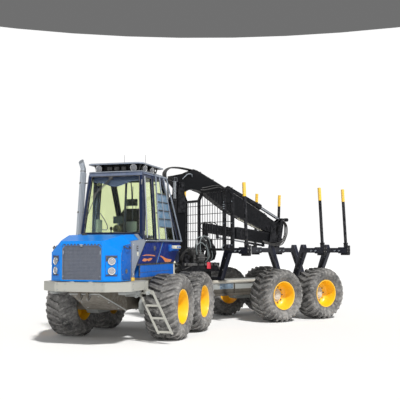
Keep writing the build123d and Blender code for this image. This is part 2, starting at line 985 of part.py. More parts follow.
# Wires of the headboard: uprights inside its frame, cross wires on its rear face
with BuildPart() as uprights:
    for step in range(-13, 13):
        y = (step + 0.5) * wire_pitch
        posts = (gate_post_y, -gate_post_y, notch_right, notch_left)
        if min(abs(y - post) for post in posts) < gate_member / 2 + wire_half:
            continue
        block(
            (gate_x - wire_half, gate_x + wire_half),
            (y - wire_half, y + wire_half),
            (gate_low, gate_top),
        )
    add(gate_prism(gate_member, gate_rear, gate_thickness), mode=Mode.INTERSECT)
with BuildPart() as mesh:
    add(uprights.part)
    for step in range(1, 7):
        z = gate_low + gate_member + step * cross_pitch
        half = gate_half - gate_member / 2
        if z > gate_top - notch_depth - gate_member:
            continue
        block(
            (gate_rear - 2 * wire_half, gate_rear),
            (-half, half),
            (z - wire_half, z + wire_half),
        )
save(mesh.part, "headboard_mesh", False)

# Crane base and column, with the cheeks that carry the boom's pin
with BuildPart() as base:
    block((slew_rear + 180, slew_front - 60), (-290, 290), (rear_frame_top, crane_base_top))
    block((slew_rear, slew_front), (-slew_half, slew_half), (crane_base_top, slew_top))
save(base.part, "crane_base", False)

with BuildPart() as column:
    block(
        (column_x - column_half_x, column_x + column_half_x),
        (-column_half_y, column_half_y),
        (slew_top, column_top),
    )
    for sign in (1, -1):
        near = boom_half + moving_gap
        cheek = [
            (column_x - 120, column_top - 420),
            (column_x + 120, column_top - 420),
            (column_x + 80, boom_pin_z + 70),
            (column_x - 80, boom_pin_z + 70),
        ]
        y = near + cheek_thickness if sign > 0 else -near
        extrude(side_face(cheek, y), amount=cheek_thickness)
    for sign in (1, -1):
        ear = lift_y - lift_barrel_radius - running_gap
        block(
            (column_x + column_half_x, lift_x + 45),
            (sign * 60, sign * ear),
            (barrel_low - 45, barrel_low + 60),
        )
save(column.part, "crane_column", False)

# Valve block on the slewing gear
with BuildPart() as valves:
    block((-960, -640), (60, 380), (slew_top, 1760))
    block((-900, -700), (380, 520), (slew_top + 60, 1700))
save(valves.part, "crane_valves", False)

# Lift cylinders: barrels stand on the column's foot, rods pull on the root of the boom
with BuildPart() as barrels:
    for sign in (1, -1):
        foot = (lift_x, sign * lift_y, barrel_low)
        rod(foot, (lift_x, sign * lift_y, barrel_top), lift_barrel_radius, sides=16)
        rod(
            (lift_x, sign * lift_y, rod_low - lift_stroke - 20),
            (lift_x, sign * lift_y, barrel_top),
            lift_rod_radius + running_gap,
            mode=Mode.SUBTRACT,
            sides=12,
        )
save(barrels.part, "lift_barrels", False)

with BuildPart() as rods:
    for sign in (1, -1):
        eye = (lift_x, sign * lift_y, lift_eye_z)
        rod((lift_x, sign * lift_y, rod_low), eye, lift_rod_radius, sides=12)
        block(
            (lift_x - 50, lift_x + 50),
            (sign * (lift_y - 42), sign * (lift_y + 42)),
            (lift_eye_z - 50, lift_eye_z + 50),
        )
save(rods.part, "lift_rods", False)

# Inner boom: a bent box from the column's pin out to the knuckle
boom_outline = [
    (-190, 3640),
    (-330, 3668),
    (-650, 3741),
    (-840, 3822),
    (-960, 3796),
    (-1673, 3488),
    (-2451, 3132),
    (-3567, 2589),
    (boom_tip_pin[0] - 110, boom_tip_pin[1] + 60),
    (boom_tip_pin[0] - 100, boom_tip_pin[1] - 70),
    (boom_tip_pin[0], boom_tip_pin[1] - 130),
    (-3262, 2311),
    (-2476, 2604),
    (-1972, 2800),
    (-1250, 3215),
    (-1120, 3275),
    (-930, 3325),
    (-751, 3339),
    (-600, 3262),
    (-420, 3260),
    (-210, 3480),
]
with BuildPart() as boom:
    extrude(side_face(boom_outline), amount=boom_half, both=True)
    pin_half = boom_half + moving_gap - running_gap
    rod((column_x, -pin_half, boom_pin_z), (column_x, pin_half, boom_pin_z), 55)
save(boom.part, "inner_boom", False)

# Fold cylinder on top of the inner boom, with the rocker and the link that its rod pushes
fold_foot = (-1990, 0, 3425)
fold_gland = (-3130, 0, 2962)
with BuildPart() as fold:
    rod(fold_foot, fold_gland, 74, sides=20)
    rod(fold_gland, (rod_eye[0], 0, rod_eye[1]), 38, sides=12)
    block((rod_eye[0] - 60, rod_eye[0] + 60), (-45, 45), (rod_eye[1] - 60, rod_eye[1] + 60))
    rocker = [
        (rod_eye[0] - 50, rod_eye[1] + 50),
        (rod_eye[0] + 30, rod_eye[1] + 60),
        (boom_tip_pin[0] + 20, boom_tip_pin[1] + 60),
        (boom_tip_pin[0] - 10, boom_tip_pin[1] - 60),
        (rod_eye[0] - 50, rod_eye[1] - 50),
    ]
    link = [
        (rod_eye[0] - 60, rod_eye[1] + 40),
        (rod_eye[0] + 60, rod_eye[1] + 40),
        (knuckle[0] + 50, knuckle[1] + 20),
        (knuckle[0] - 70, knuckle[1] + 20),
    ]
    for far in (75, -45):
        extrude(side_face(rocker, far), amount=30)
    for far in (100, -75):
        extrude(side_face(link, far), amount=25)
    add(boom.part, mode=Mode.SUBTRACT)
save(fold.part, "fold_cylinder", False)

# Outer boom with its extension, folded under the inner boom
with BuildPart() as stick:
    run = stick_tip[0] - knuckle[0]
    climb = stick_tip[1] - knuckle[1]
    half = stick_depth / 2
    extrude(
        side_face(
            [
                (knuckle[0], knuckle[1] - half),
                (knuckle[0] + 0.6 * run, knuckle[1] + 0.6 * climb - half),
                (knuckle[0] + 0.6 * run, knuckle[1] + 0.6 * climb + half),
                (knuckle[0] + 140, knuckle[1] + half + 20),
                (knuckle[0] - 120, knuckle[1] + 40),
                (knuckle[0] - 120, knuckle[1] - 60),
            ]
        ),
        amount=stick_half,
        both=True,
    )
    extrude(
        side_face(
            [
                (knuckle[0] + 0.59 * run, knuckle[1] + 0.59 * climb - half + 35),
                (stick_tip[0], stick_tip[1] - half + 35),
                (stick_tip[0], stick_tip[1] + half - 35),
                (knuckle[0] + 0.59 * run, knuckle[1] + 0.59 * climb + half - 35),
            ]
        ),
        amount=stick_half - 20,
        both=True,
    )
    lug = [
        (boom_tip_pin[0] + 90, boom_tip_pin[1] + 40),
        (boom_tip_pin[0] - 60, boom_tip_pin[1] + 60),
        (boom_tip_pin[0] - 100, knuckle[1] - 60),
        (boom_tip_pin[0] + 160, knuckle[1] - 60),
    ]
    for far in (boom_half + 30, -boom_half - running_gap):
        extrude(side_face(lug, far), amount=30 - running_gap)
    block(
        (boom_tip_pin[0] - 60, boom_tip_pin[0] + 120),
        (-boom_half - 30, boom_half + 30),
        (knuckle[1] - 60, knuckle[1] + 90),
    )
    for sign in (1, -1):
        block((grapple_x - 40, grapple_x + 40), (sign * 40.5, sign * stick_half), (hang_z - 38, hang_z + 75))
    add(boom.part, mode=Mode.SUBTRACT)
    add(fold.part, mode=Mode.SUBTRACT)
save(stick.part, "outer_boom", False)

# Rotator hung between the ears of the boom's tip, with the plates that carry the jaws' pins
with BuildPart() as rotator:
    block((grapple_x - hanger_half, grapple_x + hanger_half), (-40, 40), (jaw_pin_z + 150, hang_z + 10))
    rod((grapple_x, 0, jaw_pin_z + 110), (grapple_x, 0, jaw_pin_z + 150), 90, sides=16)
    plate = grapple_half + running_gap
    block((grapple_x - plate - 16, grapple_x + plate + 16), (-100, 100), (jaw_pin_z + 75, jaw_pin_z + 110))
    for near, far in ((plate, plate + 16), (-plate, -plate - 16)):
        block((grapple_x + near, grapple_x + far), (-125, 125), (jaw_pin_z - 45, jaw_pin_z + 85))
save(rotator.part, "rotator", False)

# Grapple jaws: curved tines that close below the rotator
for side, sign in (("left", 1), ("right", -1)):
    with BuildPart() as jaw:
        with BuildSketch(Plane.YZ.offset(grapple_x)):
            with BuildLine():
                Polyline(
                    (sign * 4, jaw_tip_z),
                    (sign * 4, jaw_tip_z + 50),
                    (sign * 150, jaw_tip_z + 110),
                    (sign * (jaw_belly_y - 70), jaw_tip_z + 210),
                    (sign * 170, jaw_pin_z - 130),
                    (sign * 30, jaw_pin_z - 50),
                    (sign * 30, jaw_pin_z + 50),
                    (sign * 110, jaw_pin_z + 50),
                    (sign * 250, jaw_pin_z - 100),
                    (sign * jaw_belly_y, jaw_tip_z + 210),
                    (sign * 220, jaw_tip_z + 60),
                    close=True,
                )
            make_face()
        extrude(amount=grapple_half, both=True)
    save(jaw.part, f"grapple_jaw_{side}", False)
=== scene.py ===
import math

import bmesh
import bpy
from mathutils import Matrix, Vector


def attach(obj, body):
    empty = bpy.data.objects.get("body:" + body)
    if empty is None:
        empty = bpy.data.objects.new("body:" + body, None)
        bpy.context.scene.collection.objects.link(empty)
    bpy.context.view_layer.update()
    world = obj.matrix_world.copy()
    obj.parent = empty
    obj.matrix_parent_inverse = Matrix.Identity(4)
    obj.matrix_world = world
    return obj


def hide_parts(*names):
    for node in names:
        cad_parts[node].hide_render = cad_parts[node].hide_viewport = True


# forestry forwarder: front unit steered to the left, crane folded over the load space
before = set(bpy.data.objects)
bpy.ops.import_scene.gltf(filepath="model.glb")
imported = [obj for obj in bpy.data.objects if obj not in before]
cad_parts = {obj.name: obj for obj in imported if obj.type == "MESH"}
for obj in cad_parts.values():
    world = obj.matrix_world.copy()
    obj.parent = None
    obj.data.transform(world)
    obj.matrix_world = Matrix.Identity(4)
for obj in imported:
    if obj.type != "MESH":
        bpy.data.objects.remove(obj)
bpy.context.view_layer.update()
scene = bpy.context.scene
print("forwarder: model loaded", len(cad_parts), "nodes")

# all the pieces are drawn from the centre of the articulation, x ahead along their own unit
stance = {"steer": 36.56, "shiftX": 0.64, "shiftY": -0.88}
sides = (("left", 1), ("right", -1))
unitShift = Matrix.Translation((stance["shiftX"], stance["shiftY"], 0))
unitPlace = {
    False: unitShift,
    True: unitShift @ Matrix.Rotation(math.radians(stance["steer"]), 4, "Z"),
}


def newMeshes(count):
    return [bmesh.new() for _ in range(count)]


def joinInto(bm, made):
    mesh = bpy.data.meshes.new("joined")
    made.to_mesh(mesh)
    made.free()
    bm.from_mesh(mesh)
    bpy.data.meshes.remove(mesh)


def roundEdges(bm, edges, width, segments=2):
    bmesh.ops.bevel(
        bm, geom=list(edges), offset=width, segments=segments, profile=0.5,
        affect="EDGES", material=-1, clamp_overlap=True,
    )


def addBlock(bm, x, y, z, edge=0):
    made = bmesh.ops.create_cube(bm, size=1)["verts"]
    size = (abs(x[1] - x[0]), abs(y[1] - y[0]), abs(z[1] - z[0]))
    bmesh.ops.scale(bm, vec=size, verts=made)
    bmesh.ops.translate(bm, vec=((x[0] + x[1]) / 2, (y[0] + y[1]) / 2, (z[0] + z[1]) / 2), verts=made)
    if edge:
        roundEdges(bm, {e for v in made for e in v.link_edges}, edge)


def addRod(bm, start, end, radius, sides=20, far=None):
    start, end = Vector(start), Vector(end)
    way = end - start
    made = bmesh.ops.create_cone(
        bm, cap_ends=True, segments=sides, radius1=radius,
        radius2=radius if far is None else far, depth=way.length,
    )["verts"]
    turn = Matrix.Translation((start + end) / 2) @ way.to_track_quat("Z", "Y").to_matrix().to_4x4()
    bmesh.ops.transform(bm, matrix=turn, verts=made)


def addPlate(bm, corners, thickness, edge=0):
    # a flat plate: the corners in space, and a thickness vector
    ring = [bm.verts.new(corner) for corner in corners]
    face = bm.faces.new(ring)
    grown = bmesh.ops.extrude_face_region(bm, geom=[face])["geom"]
    top = [g for g in grown if isinstance(g, bmesh.types.BMVert)]
    bmesh.ops.translate(bm, vec=thickness, verts=top)
    if edge:
        roundEdges(bm, {e for v in ring + top for e in v.link_edges}, edge)


def addTube(bm, points, radius, bend=True, sides=3, steps=5):
    path = bpy.data.curves.new("tubePath", "CURVE")
    path.dimensions = "3D"
    spline = path.splines.new("NURBS" if bend else "POLY")
    spline.points.add(len(points) - 1)
    for knot, point in zip(spline.points, points):
        knot.co = (*point, 1)
    if bend:
        spline.order_u = 3
        spline.use_endpoint_u = True
    path.resolution_u = steps
    path.bevel_depth = radius
    path.bevel_resolution = sides
    path.use_fill_caps = True
    holder = bpy.data.objects.new("tubePath", path)
    scene.collection.objects.link(holder)
    made = bpy.data.meshes.new_from_object(holder)
    bm.from_mesh(made)
    bpy.data.objects.remove(holder)
    bpy.data.meshes.remove(made)
    bpy.data.curves.remove(path)


def spinProfile(bm, profile, steps):
    # profile: (across, radius) pairs, spun round the wheel's axis
    ring = [bm.verts.new((0, across, radius)) for across, radius in profile]
    edges = [bm.edges.new(pair) for pair in zip(ring, ring[1:])]
    bmesh.ops.spin(
        bm, geom=ring + edges, cent=(0, 0, 0), axis=(0, 1, 0), dvec=(0, 0, 0),
        angle=2 * math.pi, steps=steps, use_merge=True, use_duplicate=False,
    )


def addSpun(bm, profile, steps, spot, way):
    # a spun profile set down at a spot, looking along its way
    made = bmesh.new()
    spinProfile(made, profile, steps)
    turn = Vector(way).to_track_quat("Y", "Z").to_matrix().to_4x4()
    bmesh.ops.transform(made, matrix=Matrix.Translation(spot) @ turn, verts=made.verts)
    joinInto(bm, made)


def addRing(bm, spot, way, inner, outer, depth, steps=28):
    lip = (outer - inner) * 0.2
    profile = [
        (0, inner), (0, outer), (depth * 0.7, outer), (depth, outer - lip),
        (depth, inner + lip), (depth * 0.7, inner), (0, inner),
    ]
    addSpun(bm, profile, steps, spot, way)


def addBall(bm, centre, radius, across, around, stretch=Matrix.Identity(4)):
    place = Matrix.Translation(centre) @ stretch
    bmesh.ops.create_uvsphere(bm, u_segments=across, v_segments=around, radius=radius, matrix=place)


def addBolt(bm, spot, way, radius=0.01):
    seat, way = Vector(spot), Vector(way).normalized()
    addRod(bm, seat - way * 0.004, seat + way * 0.002, radius * 1.6, 14)
    addRod(bm, seat, seat + way * radius * 0.9, radius, 6)


def circlePoints(count, radius, start=0):
    for k in range(count):
        turn = 2 * math.pi * (k + start) / count
        yield radius * math.cos(turn), radius * math.sin(turn)


def smoothPath(points, steps=9):
    # a Catmull-Rom line through the points, close enough together to be measured
    knots = [Vector(p) for p in points]
    knots = [knots[0] * 2 - knots[1], *knots, knots[-1] * 2 - knots[-2]]
    line = []
    for a, b, c, d in zip(knots, knots[1:], knots[2:], knots[3:]):
        second, third = 2 * a - 5 * b + 4 * c - d, 3 * b - a - 3 * c + d
        for k in range(steps):
            t = k / steps
            line.append(0.5 * (2 * b + (c - a) * t + second * t**2 + third * t**3))
    return [*line, knots[-2]]


def placeMesh(mesh, name, body, hides=(), edge=0, sharp=34):
    mesh.shade_smooth()
    mesh.set_sharp_from_angle(angle=math.radians(sharp))
    piece = bpy.data.objects.new(name, mesh)
    scene.collection.objects.link(piece)
    if edge:
        softener = piece.modifiers.new("edges", "BEVEL")
        softener.width = edge
        softener.segments = 2
        softener.limit_method = "ANGLE"
        softener.angle_limit = math.radians(30)
    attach(piece, body)
    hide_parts(*hides)
    return piece


def finishPiece(bm, name, coat, body, front=False, slotName=None, hides=(), sharp=34, merge=True):
    if merge:
        bmesh.ops.remove_doubles(bm, verts=bm.verts, dist=0.00005)
    bmesh.ops.recalc_face_normals(bm, faces=bm.faces)
    bmesh.ops.transform(bm, matrix=unitPlace[front], verts=bm.verts)
    mesh = bpy.data.meshes.new(name)
    bm.to_mesh(mesh)
    bm.free()
    mesh.materials.append(coats[coat])
    return placeMesh(mesh, name, body, hides, sharp=sharp)


def finishRows(body, front, *rows):
    for bm, name, coat, *rest in rows:
        finishPiece(bm, name, coat, body, front, *rest)


def dressNode(node, coat, body, edge):
    # the CAD node again, with its triangles merged to whole faces and its edges rounded
    bm = bmesh.new()
    bm.from_mesh(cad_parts[node].data)
    bmesh.ops.remove_doubles(bm, verts=bm.verts, dist=0.00002)
    bmesh.ops.dissolve_limit(bm, angle_limit=math.radians(1), verts=bm.verts, edges=bm.edges)
    mesh = bpy.data.meshes.new(node + "_dressed")
    bm.to_mesh(mesh)
    bm.free()
    mesh.materials.append(coats[coat])
    placeMesh(mesh, node + "_dressed", body, (node,), edge)


hoseLengths = []


def hangHose(name, points, radius, body, coat="hoseRubber"):
    # a free hose along a smooth line, declared with its real length
    line = smoothPath(points)
    bm = bmesh.new()
    addTube(bm, line, radius, False, 2)
    hose = finishPiece(bm, name, coat, body, slotName="trim_plastic")
    placed = [unitShift @ p for p in line]
    length = sum((b - a).length for a, b in zip(placed, placed[1:]))
    hoseLengths.append((name, round(length, 2), round(2 * radius, 4)))


def groupTree(name, inputs, outputs):
    tree = bpy.data.node_groups.new(name, "ShaderNodeTree")
    for label, value in inputs.items():
        kind = "NodeSocketColor" if isinstance(value, tuple) else "NodeSocketFloat"
        tree.interface.new_socket(label, in_out="INPUT", socket_type=kind).default_value = value
    for label, kind in outputs.items():
        tree.interface.new_socket(label, in_out="OUTPUT", socket_type=kind)
    return tree, tree.nodes.new("NodeGroupInput"), tree.nodes.new("NodeGroupOutput")


def addNode(tree, kind, settings=None, values=None):
    node = tree.nodes.new(kind)
    for key, value in (settings or {}).items():
        setattr(node, key, value)
    for key, value in (values or {}).items():
        node.inputs[key].default_value = value
    return node


def joinSockets(tree, pairs):
    # each pair: a socket, and the socket or the value that feeds it
    for socket, source in pairs:
        if isinstance(source, bpy.types.NodeSocket):
            tree.links.new(source, socket)
        else:
            socket.default_value = source


def spread(tree, source, low, high, outLow=0, outHigh=1):
    node = addNode(tree, "ShaderNodeMapRange", {"clamp": True}, {1: low, 2: high, 3: outLow, 4: outHigh})
    tree.links.new(source, node.inputs[0])
    return node.outputs[0]


def blendColour(tree, amount, first, second):
    node = addNode(tree, "ShaderNodeMix", {"data_type": "RGBA"})
    joinSockets(tree, zip((node.inputs[0], node.inputs[6], node.inputs[7]), (amount, first, second)))
    return node.outputs[2]


# worn finish: dust that gathers low down, blotches, fine scuffs and pale edges
wornFinish, wornIn, wornOut = groupTree(
    "wornFinish",
    {
        "Paint": (0.5, 0.5, 0.5, 1), "Dust Colour": (0.42, 0.38, 0.32, 1), "Dust": 0.3, "Wear": 0.3,
        "Bare Colour": (0.5, 0.5, 0.5, 1), "Roughness": 0.4, "Grain": 60,
    },
    {"Colour": "NodeSocketColor", "Roughness": "NodeSocketFloat", "Height": "NodeSocketFloat"},
)


def wornMath(operation, first, second):
    node = addNode(wornFinish, "ShaderNodeMath", {"operation": operation})
    joinSockets(wornFinish, zip(node.inputs, (first, second)))
    return node.outputs[0]


def times(first, second):
    return wornMath("MULTIPLY", first, second)


def plus(first, second):
    return wornMath("ADD", first, second)


def wornNoise(values):
    noise = addNode(wornFinish, "ShaderNodeTexNoise", None, values)
    wornFinish.links.new(place.outputs["Object"], noise.inputs["Vector"])
    return noise


place = addNode(wornFinish, "ShaderNodeTexCoord")
broad = wornNoise({"Scale": 1.7, "Detail": 6, "Roughness": 0.6}).outputs["Fac"]
blotch = wornNoise({"Scale": 14, "Detail": 5, "Roughness": 0.65}).outputs["Fac"]
grain = wornNoise({"Detail": 3, "Roughness": 0.6})
wornFinish.links.new(wornIn.outputs["Grain"], grain.inputs["Scale"])
heightOf = addNode(wornFinish, "ShaderNodeSeparateXYZ")
wornFinish.links.new(place.outputs["Object"], heightOf.inputs[0])
shape = addNode(wornFinish, "ShaderNodeNewGeometry")
lowDown = spread(wornFinish, heightOf.outputs["Z"], 0.2, 2.2, 1, 0.25)
cloudy = spread(wornFinish, broad, 0.35, 0.7)
speckle = spread(wornFinish, blotch, 0.42, 0.66)
dusty = times(plus(times(cloudy, 0.6), times(speckle, 0.4)), lowDown)
dustMask = times(dusty, wornIn.outputs["Dust"])
edgeMask = spread(wornFinish, shape.outputs["Pointiness"], 0.53, 0.6)
wearMask = times(times(edgeMask, spread(wornFinish, blotch, 0.4, 0.58)), wornIn.outputs["Wear"])
dusted = blendColour(wornFinish, dustMask, wornIn.outputs["Paint"], wornIn.outputs["Dust Colour"])
rougher = plus(wornIn.outputs["Roughness"], times(dustMask, 0.45))
joinSockets(wornFinish, (
    (wornOut.inputs["Colour"], blendColour(wornFinish, wearMask, dusted, wornIn.outputs["Bare Colour"])),
    (wornOut.inputs["Roughness"], plus(rougher, times(blotch, 0.08))),
    (wornOut.inputs["Height"], plus(times(grain.outputs["Fac"], 0.6), times(dustMask, 0.4))),
))

coats, coatSlots = {}, {}


def finishCoat(name, slotName, paint, roughness, dust, wear, bump, bare=(0.45, 0.45, 0.45), grain=60,
               metal=0, coat=0, dustColour=(0.42, 0.39, 0.34), shine=0.5):
    coats[name] = bpy.data.materials.new(name)
    coatSlots[name] = slotName
    coats[name].use_nodes = True
    tree = coats[name].node_tree
    shader = tree.nodes["Principled BSDF"].inputs
    finish = addNode(tree, "ShaderNodeGroup", {"node_tree": wornFinish}, {
        "Paint": (*paint, 1), "Dust Colour": (*dustColour, 1), "Dust": dust, "Wear": wear,
        "Bare Colour": (*bare, 1), "Roughness": roughness, "Grain": grain,
    })
    bumpNode = addNode(tree, "ShaderNodeBump", None, {"Strength": 0.5, "Distance": bump})
    joinSockets(tree, (
        (shader["Base Color"], finish.outputs["Colour"]), (shader["Roughness"], finish.outputs["Roughness"]),
        (bumpNode.inputs["Height"], finish.outputs["Height"]), (shader["Normal"], bumpNode.outputs["Normal"]),
        (shader["Metallic"], metal), (shader["Coat Weight"], coat), (shader["Coat Roughness"], 0.12),
        (shader["Specular IOR Level"], shine),
    ))
    coats[name].diffuse_color = (*paint, 1)


# name, slot, paint, roughness, dust, wear, bump, and what else the finish takes
for *plain, more in (
    ("hoodBlue", "hood_blue", (0, 0.21, 0.72), 0.3, 0.004, 0.1, 0.0006, {"coat": 0.12, "shine": 0.12}),
    # a darker copy of the hood blue: painted shade, used on the hood's side panels, the lamp frames and the
    # side lamp bracket
    ("shadedHoodBlue", "hood_blue", (0, 0.105, 0.46), 0.4, 0.004, 0.12, 0.0006, {"coat": 0.02, "shine": 0.06}),
    ("cabBlue", "cab_blue", (0.004, 0.012, 0.045), 0.34, 0.02, 0.2, 0.0005, {"coat": 0.1, "shine": 0.12}),
    ("boxBlue", "hood_blue", (0, 0.125, 0.55), 0.4, 0.004, 0.12, 0.0006, {"coat": 0.02, "shine": 0.06}),
    ("skirtBlue", "cab_blue", (0, 0.016, 0.15), 0.4, 0.002, 0.08, 0.0004, {"shine": 0.06}),
    ("swooshOrange", "cab_blue", (0.66, 0.17, 0.01), 0.35, 0.1, 0.2, 0.0004, {}),
    (
        "chassisGrey", "frame_grey", (0.3, 0.32, 0.32), 0.48, 0.4, 0.35, 0.001,
        {"dustColour": (0.36, 0.33, 0.27)},
    ),
    ("bumperGrey", "frame_grey", (0.37, 0.37, 0.335), 0.42, 0.15, 0.3, 0.0008, {"shine": 0.3}),
    ("bellyBrown", "frame_grey", (0.095, 0.083, 0.065), 0.75, 0.35, 0.2, 0.002, {}),
    ("panelSilver", "panel_grey", (0.25, 0.29, 0.36), 0.38, 0.15, 0.3, 0.0005, {"metal": 0.3}),
    (
        "craneBlack", "crane_black", (0.004, 0.0045, 0.006), 0.4, 0.012, 0.35, 0.0008,
        {"bare": (0.09, 0.09, 0.1), "shine": 0.12},
    ),
    ("castIron", "bare_cast", (0.09, 0.09, 0.09), 0.6, 0.3, 0.5, 0.002, {"grain": 220, "metal": 0.5}),
    (
        "tyreRubber", "tyre", (0.045, 0.045, 0.046), 0.82, 1, 0.8, 0.004,
        {"bare": (0.3, 0.29, 0.28), "grain": 120, "dustColour": (0.42, 0.41, 0.395)},
    ),
    ("innerRubber", "trim_plastic", (0.018, 0.018, 0.018), 0.85, 0.25, 0.2, 0.003, {"grain": 120}),
    (
        "rimYellow", "rim", (0.96, 0.54, 0.006), 0.36, 0.12, 0.4, 0.0008,
        {"bare": (0.5, 0.42, 0.25), "coat": 0.2},
    ),
    ("hubGrey", "frame_grey", (0.52, 0.53, 0.5), 0.5, 0.4, 0.4, 0.001, {}),
    ("steelTube", "bare_tube", (0.36, 0.4, 0.45), 0.34, 0.1, 0.2, 0.0005, {"metal": 0.6}),
    ("rodChrome", "chrome_rod", (0.36, 0.38, 0.42), 0.22, 0.05, 0, 0.0002, {"metal": 1}),
    ("darkPlastic", "trim_plastic", (0.025, 0.026, 0.028), 0.55, 0.15, 0.1, 0.0012, {"grain": 300}),
    ("bunkNavy", "crane_black", (0.003, 0.005, 0.018), 0.4, 0.012, 0.3, 0.0008, {"bare": (0.09, 0.09, 0.1)}),
    ("cabinGrey", "trim_plastic", (0.15, 0.19, 0.31), 0.6, 0.1, 0.1, 0.001, {"grain": 260}),
    ("stakeYellow", "trim_plastic", (0.9, 0.55, 0.02), 0.45, 0.1, 0.3, 0.0006, {}),
    ("creamPaint", "trim_plastic", (0.66, 0.64, 0.52), 0.45, 0.2, 0.2, 0.0006, {}),
    ("hoseRubber", "trim_plastic", (0.02, 0.02, 0.022), 0.5, 0.2, 0.1, 0.001, {"grain": 300}),
    ("hoseGrey", "trim_plastic", (0.16, 0.19, 0.2), 0.5, 0.2, 0.1, 0.001, {"grain": 300}),
    ("grilleGrey", "panel_grey", (0.17, 0.19, 0.24), 0.5, 0.08, 0.1, 0.0006, {"metal": 0.3}),
    ("seatCloth", "seat_cloth", (0.013, 0.015, 0.034), 0.9, 0.1, 0.1, 0.003, {"grain": 520}),
    ("redPlate", "trim_plastic", (0.62, 0.015, 0.04), 0.4, 0.1, 0.1, 0.0004, {}),
    ("lampSilver", "lamp_glass", (0.92, 0.92, 0.9), 0.3, 0, 0, 0.0002, {}),
    ("headerBlue", "panel_grey", (0.085, 0.115, 0.19), 0.4, 0.05, 0.2, 0.0005, {}),
    ("blindFilm", "trim_plastic", (0.05, 0.07, 0.27), 0.45, 0.1, 0, 0.0003, {}),
    ("linerBlue", "trim_plastic", (0.026, 0.042, 0.15), 0.45, 0.02, 0.1, 0.0005, {}),
    ("screenBlue", "trim_plastic", (0.01, 0.022, 0.06), 0.25, 0.05, 0, 0.0002, {}),
    ("guardBlue", "panel_grey", (0.085, 0.2, 0.34), 0.5, 0.2, 0.3, 0.0004, {}),
    ("plateBlueGrey", "frame_grey", (0.13, 0.2, 0.28), 0.5, 0.15, 0.2, 0.0006, {}),
    ("railBeige", "frame_grey", (0.5, 0.47, 0.4), 0.5, 0.3, 0.3, 0.0008, {}),
    ("flangeBrown", "frame_grey", (0.055, 0.048, 0.038), 0.6, 0.05, 0.2, 0.001, {"bare": (0.2, 0.19, 0.17)}),
):
    finishCoat(*plain, **more)


def glassCoat(name, tint, clearness):
    coats[name] = bpy.data.materials.new(name)
    coatSlots[name] = "lamp_glass"
    coats[name].use_nodes = True
    tree = coats[name].node_tree
    shader = tree.nodes["Principled BSDF"]
    smear = addNode(tree, "ShaderNodeTexNoise", None, {"Scale": 3, "Detail": 4})
    where = addNode(tree, "ShaderNodeTexCoord")
    tree.links.new(where.outputs["Object"], smear.inputs["Vector"])
    streaks = spread(tree, smear.outputs["Fac"], 0.45, 0.75, 0, 0.3)
    film = blendColour(tree, streaks, (*tint, 1), (*[c * 0.92 for c in tint], 1))
    clear = addNode(tree, "ShaderNodeBsdfTransparent")
    rays = addNode(tree, "ShaderNodeLightPath")
    choose = addNode(tree, "ShaderNodeMixShader")
    joinSockets(tree, (
        (shader.inputs["Transmission Weight"], clearness), (shader.inputs["IOR"], 1.2),
        (shader.inputs["Roughness"], spread(tree, smear.outputs["Fac"], 0.4, 0.8, 0.02, 0.07)),
        (shader.inputs["Base Color"], film), (clear.inputs["Color"], film),
        (choose.inputs[0], rays.outputs["Is Shadow Ray"]), (choose.inputs[1], shader.outputs[0]),
        (choose.inputs[2], clear.outputs[0]),
        (tree.nodes["Material Output"].inputs["Surface"], choose.outputs[0]),
    ))
    coats[name].diffuse_color = (*tint, 0.4)


glassCoat("cabGlass", (0.83, 0.88, 0.66), 1)
glassCoat("lampGlass", (0.5, 0.51, 0.54), 0.45)
print("forwarder: materials made")

wheel = {
    "spacing": 1.5, "track": 1.095, "centre": 0.665, "front": 1.775, "rear": -3.48,
    "lugTop": 0.665, "lugs": 26, "sweep": 0.15, "stagger": 0.5, "bolts": 10, "boltCircle": 0.205,
}


def drawTyre(bm):
    side = [
        (0.262, 0.337), (0.272, 0.352), (0.276, 0.372), (0.29, 0.384), (0.292, 0.398), (0.312, 0.425),
        (0.33, 0.455), (0.34, 0.49), (0.342, 0.525), (0.335, 0.558), (0.318, 0.588), (0.29, 0.605),
        (0.2, 0.613), (0.1, 0.616), (0, 0.617),
    ]
    spinProfile(bm, side + [(-a, r) for a, r in reversed(side[:-1])] + [side[0]], 84)
    # a lug of each hand: a bar swept back over the crown and let down at the shoulder
    lugs = bmesh.new()
    for hand in (1, -1):
        drawn = len(lugs.verts)
        made = bmesh.ops.create_cube(lugs, size=1)["verts"]
        edges = {e for v in made for e in v.link_edges}
        long = [e for e in edges if abs(e.verts[0].co.y - e.verts[1].co.y) > 0.5]
        bmesh.ops.subdivide_edges(lugs, edges=long, cuts=6, use_grid_fill=True)
        lugs.verts.ensure_lookup_table()
        stagger = wheel["stagger"] * math.pi / wheel["lugs"] * 0.63 if hand > 0 else 0
        for v in lugs.verts[drawn:]:
            t, outside = v.co.y + 0.5, v.co.z > 0
            shoulder = max(0, (t - 0.72) / 0.28)
            top = wheel["lugTop"] - 0.012 * (2 * t - 0.6) ** 2 - 0.075 * shoulder**1.6
            reach = top if outside else 0.6 - 0.075 * shoulder
            across = 0.012 + t * 0.335
            if t > 0.99:
                across = 0.352 if outside else 0.34
            wide, taper = 0.048 + 0.022 * t, 0.82 if outside else 1.12
            turn = (v.co.x * wide * taper - wheel["sweep"] * t**1.25 + stagger) / 0.64
            v.co = (math.sin(turn) * reach, hand * across, math.cos(turn) * reach)
    roundEdges(lugs, [e for e in lugs.edges if all(v.co.length > 0.63 for v in e.verts)], 0.006, 1)
    bmesh.ops.spin(
        lugs, geom=lugs.verts[:] + lugs.edges[:] + lugs.faces[:],
        cent=(0, 0, 0), axis=(0, 1, 0), dvec=(0, 0, 0),
        angle=2 * math.pi * (wheel["lugs"] - 1) / wheel["lugs"], steps=wheel["lugs"] - 1,
        use_merge=False, use_duplicate=True,
    )
    joinInto(bm, lugs)


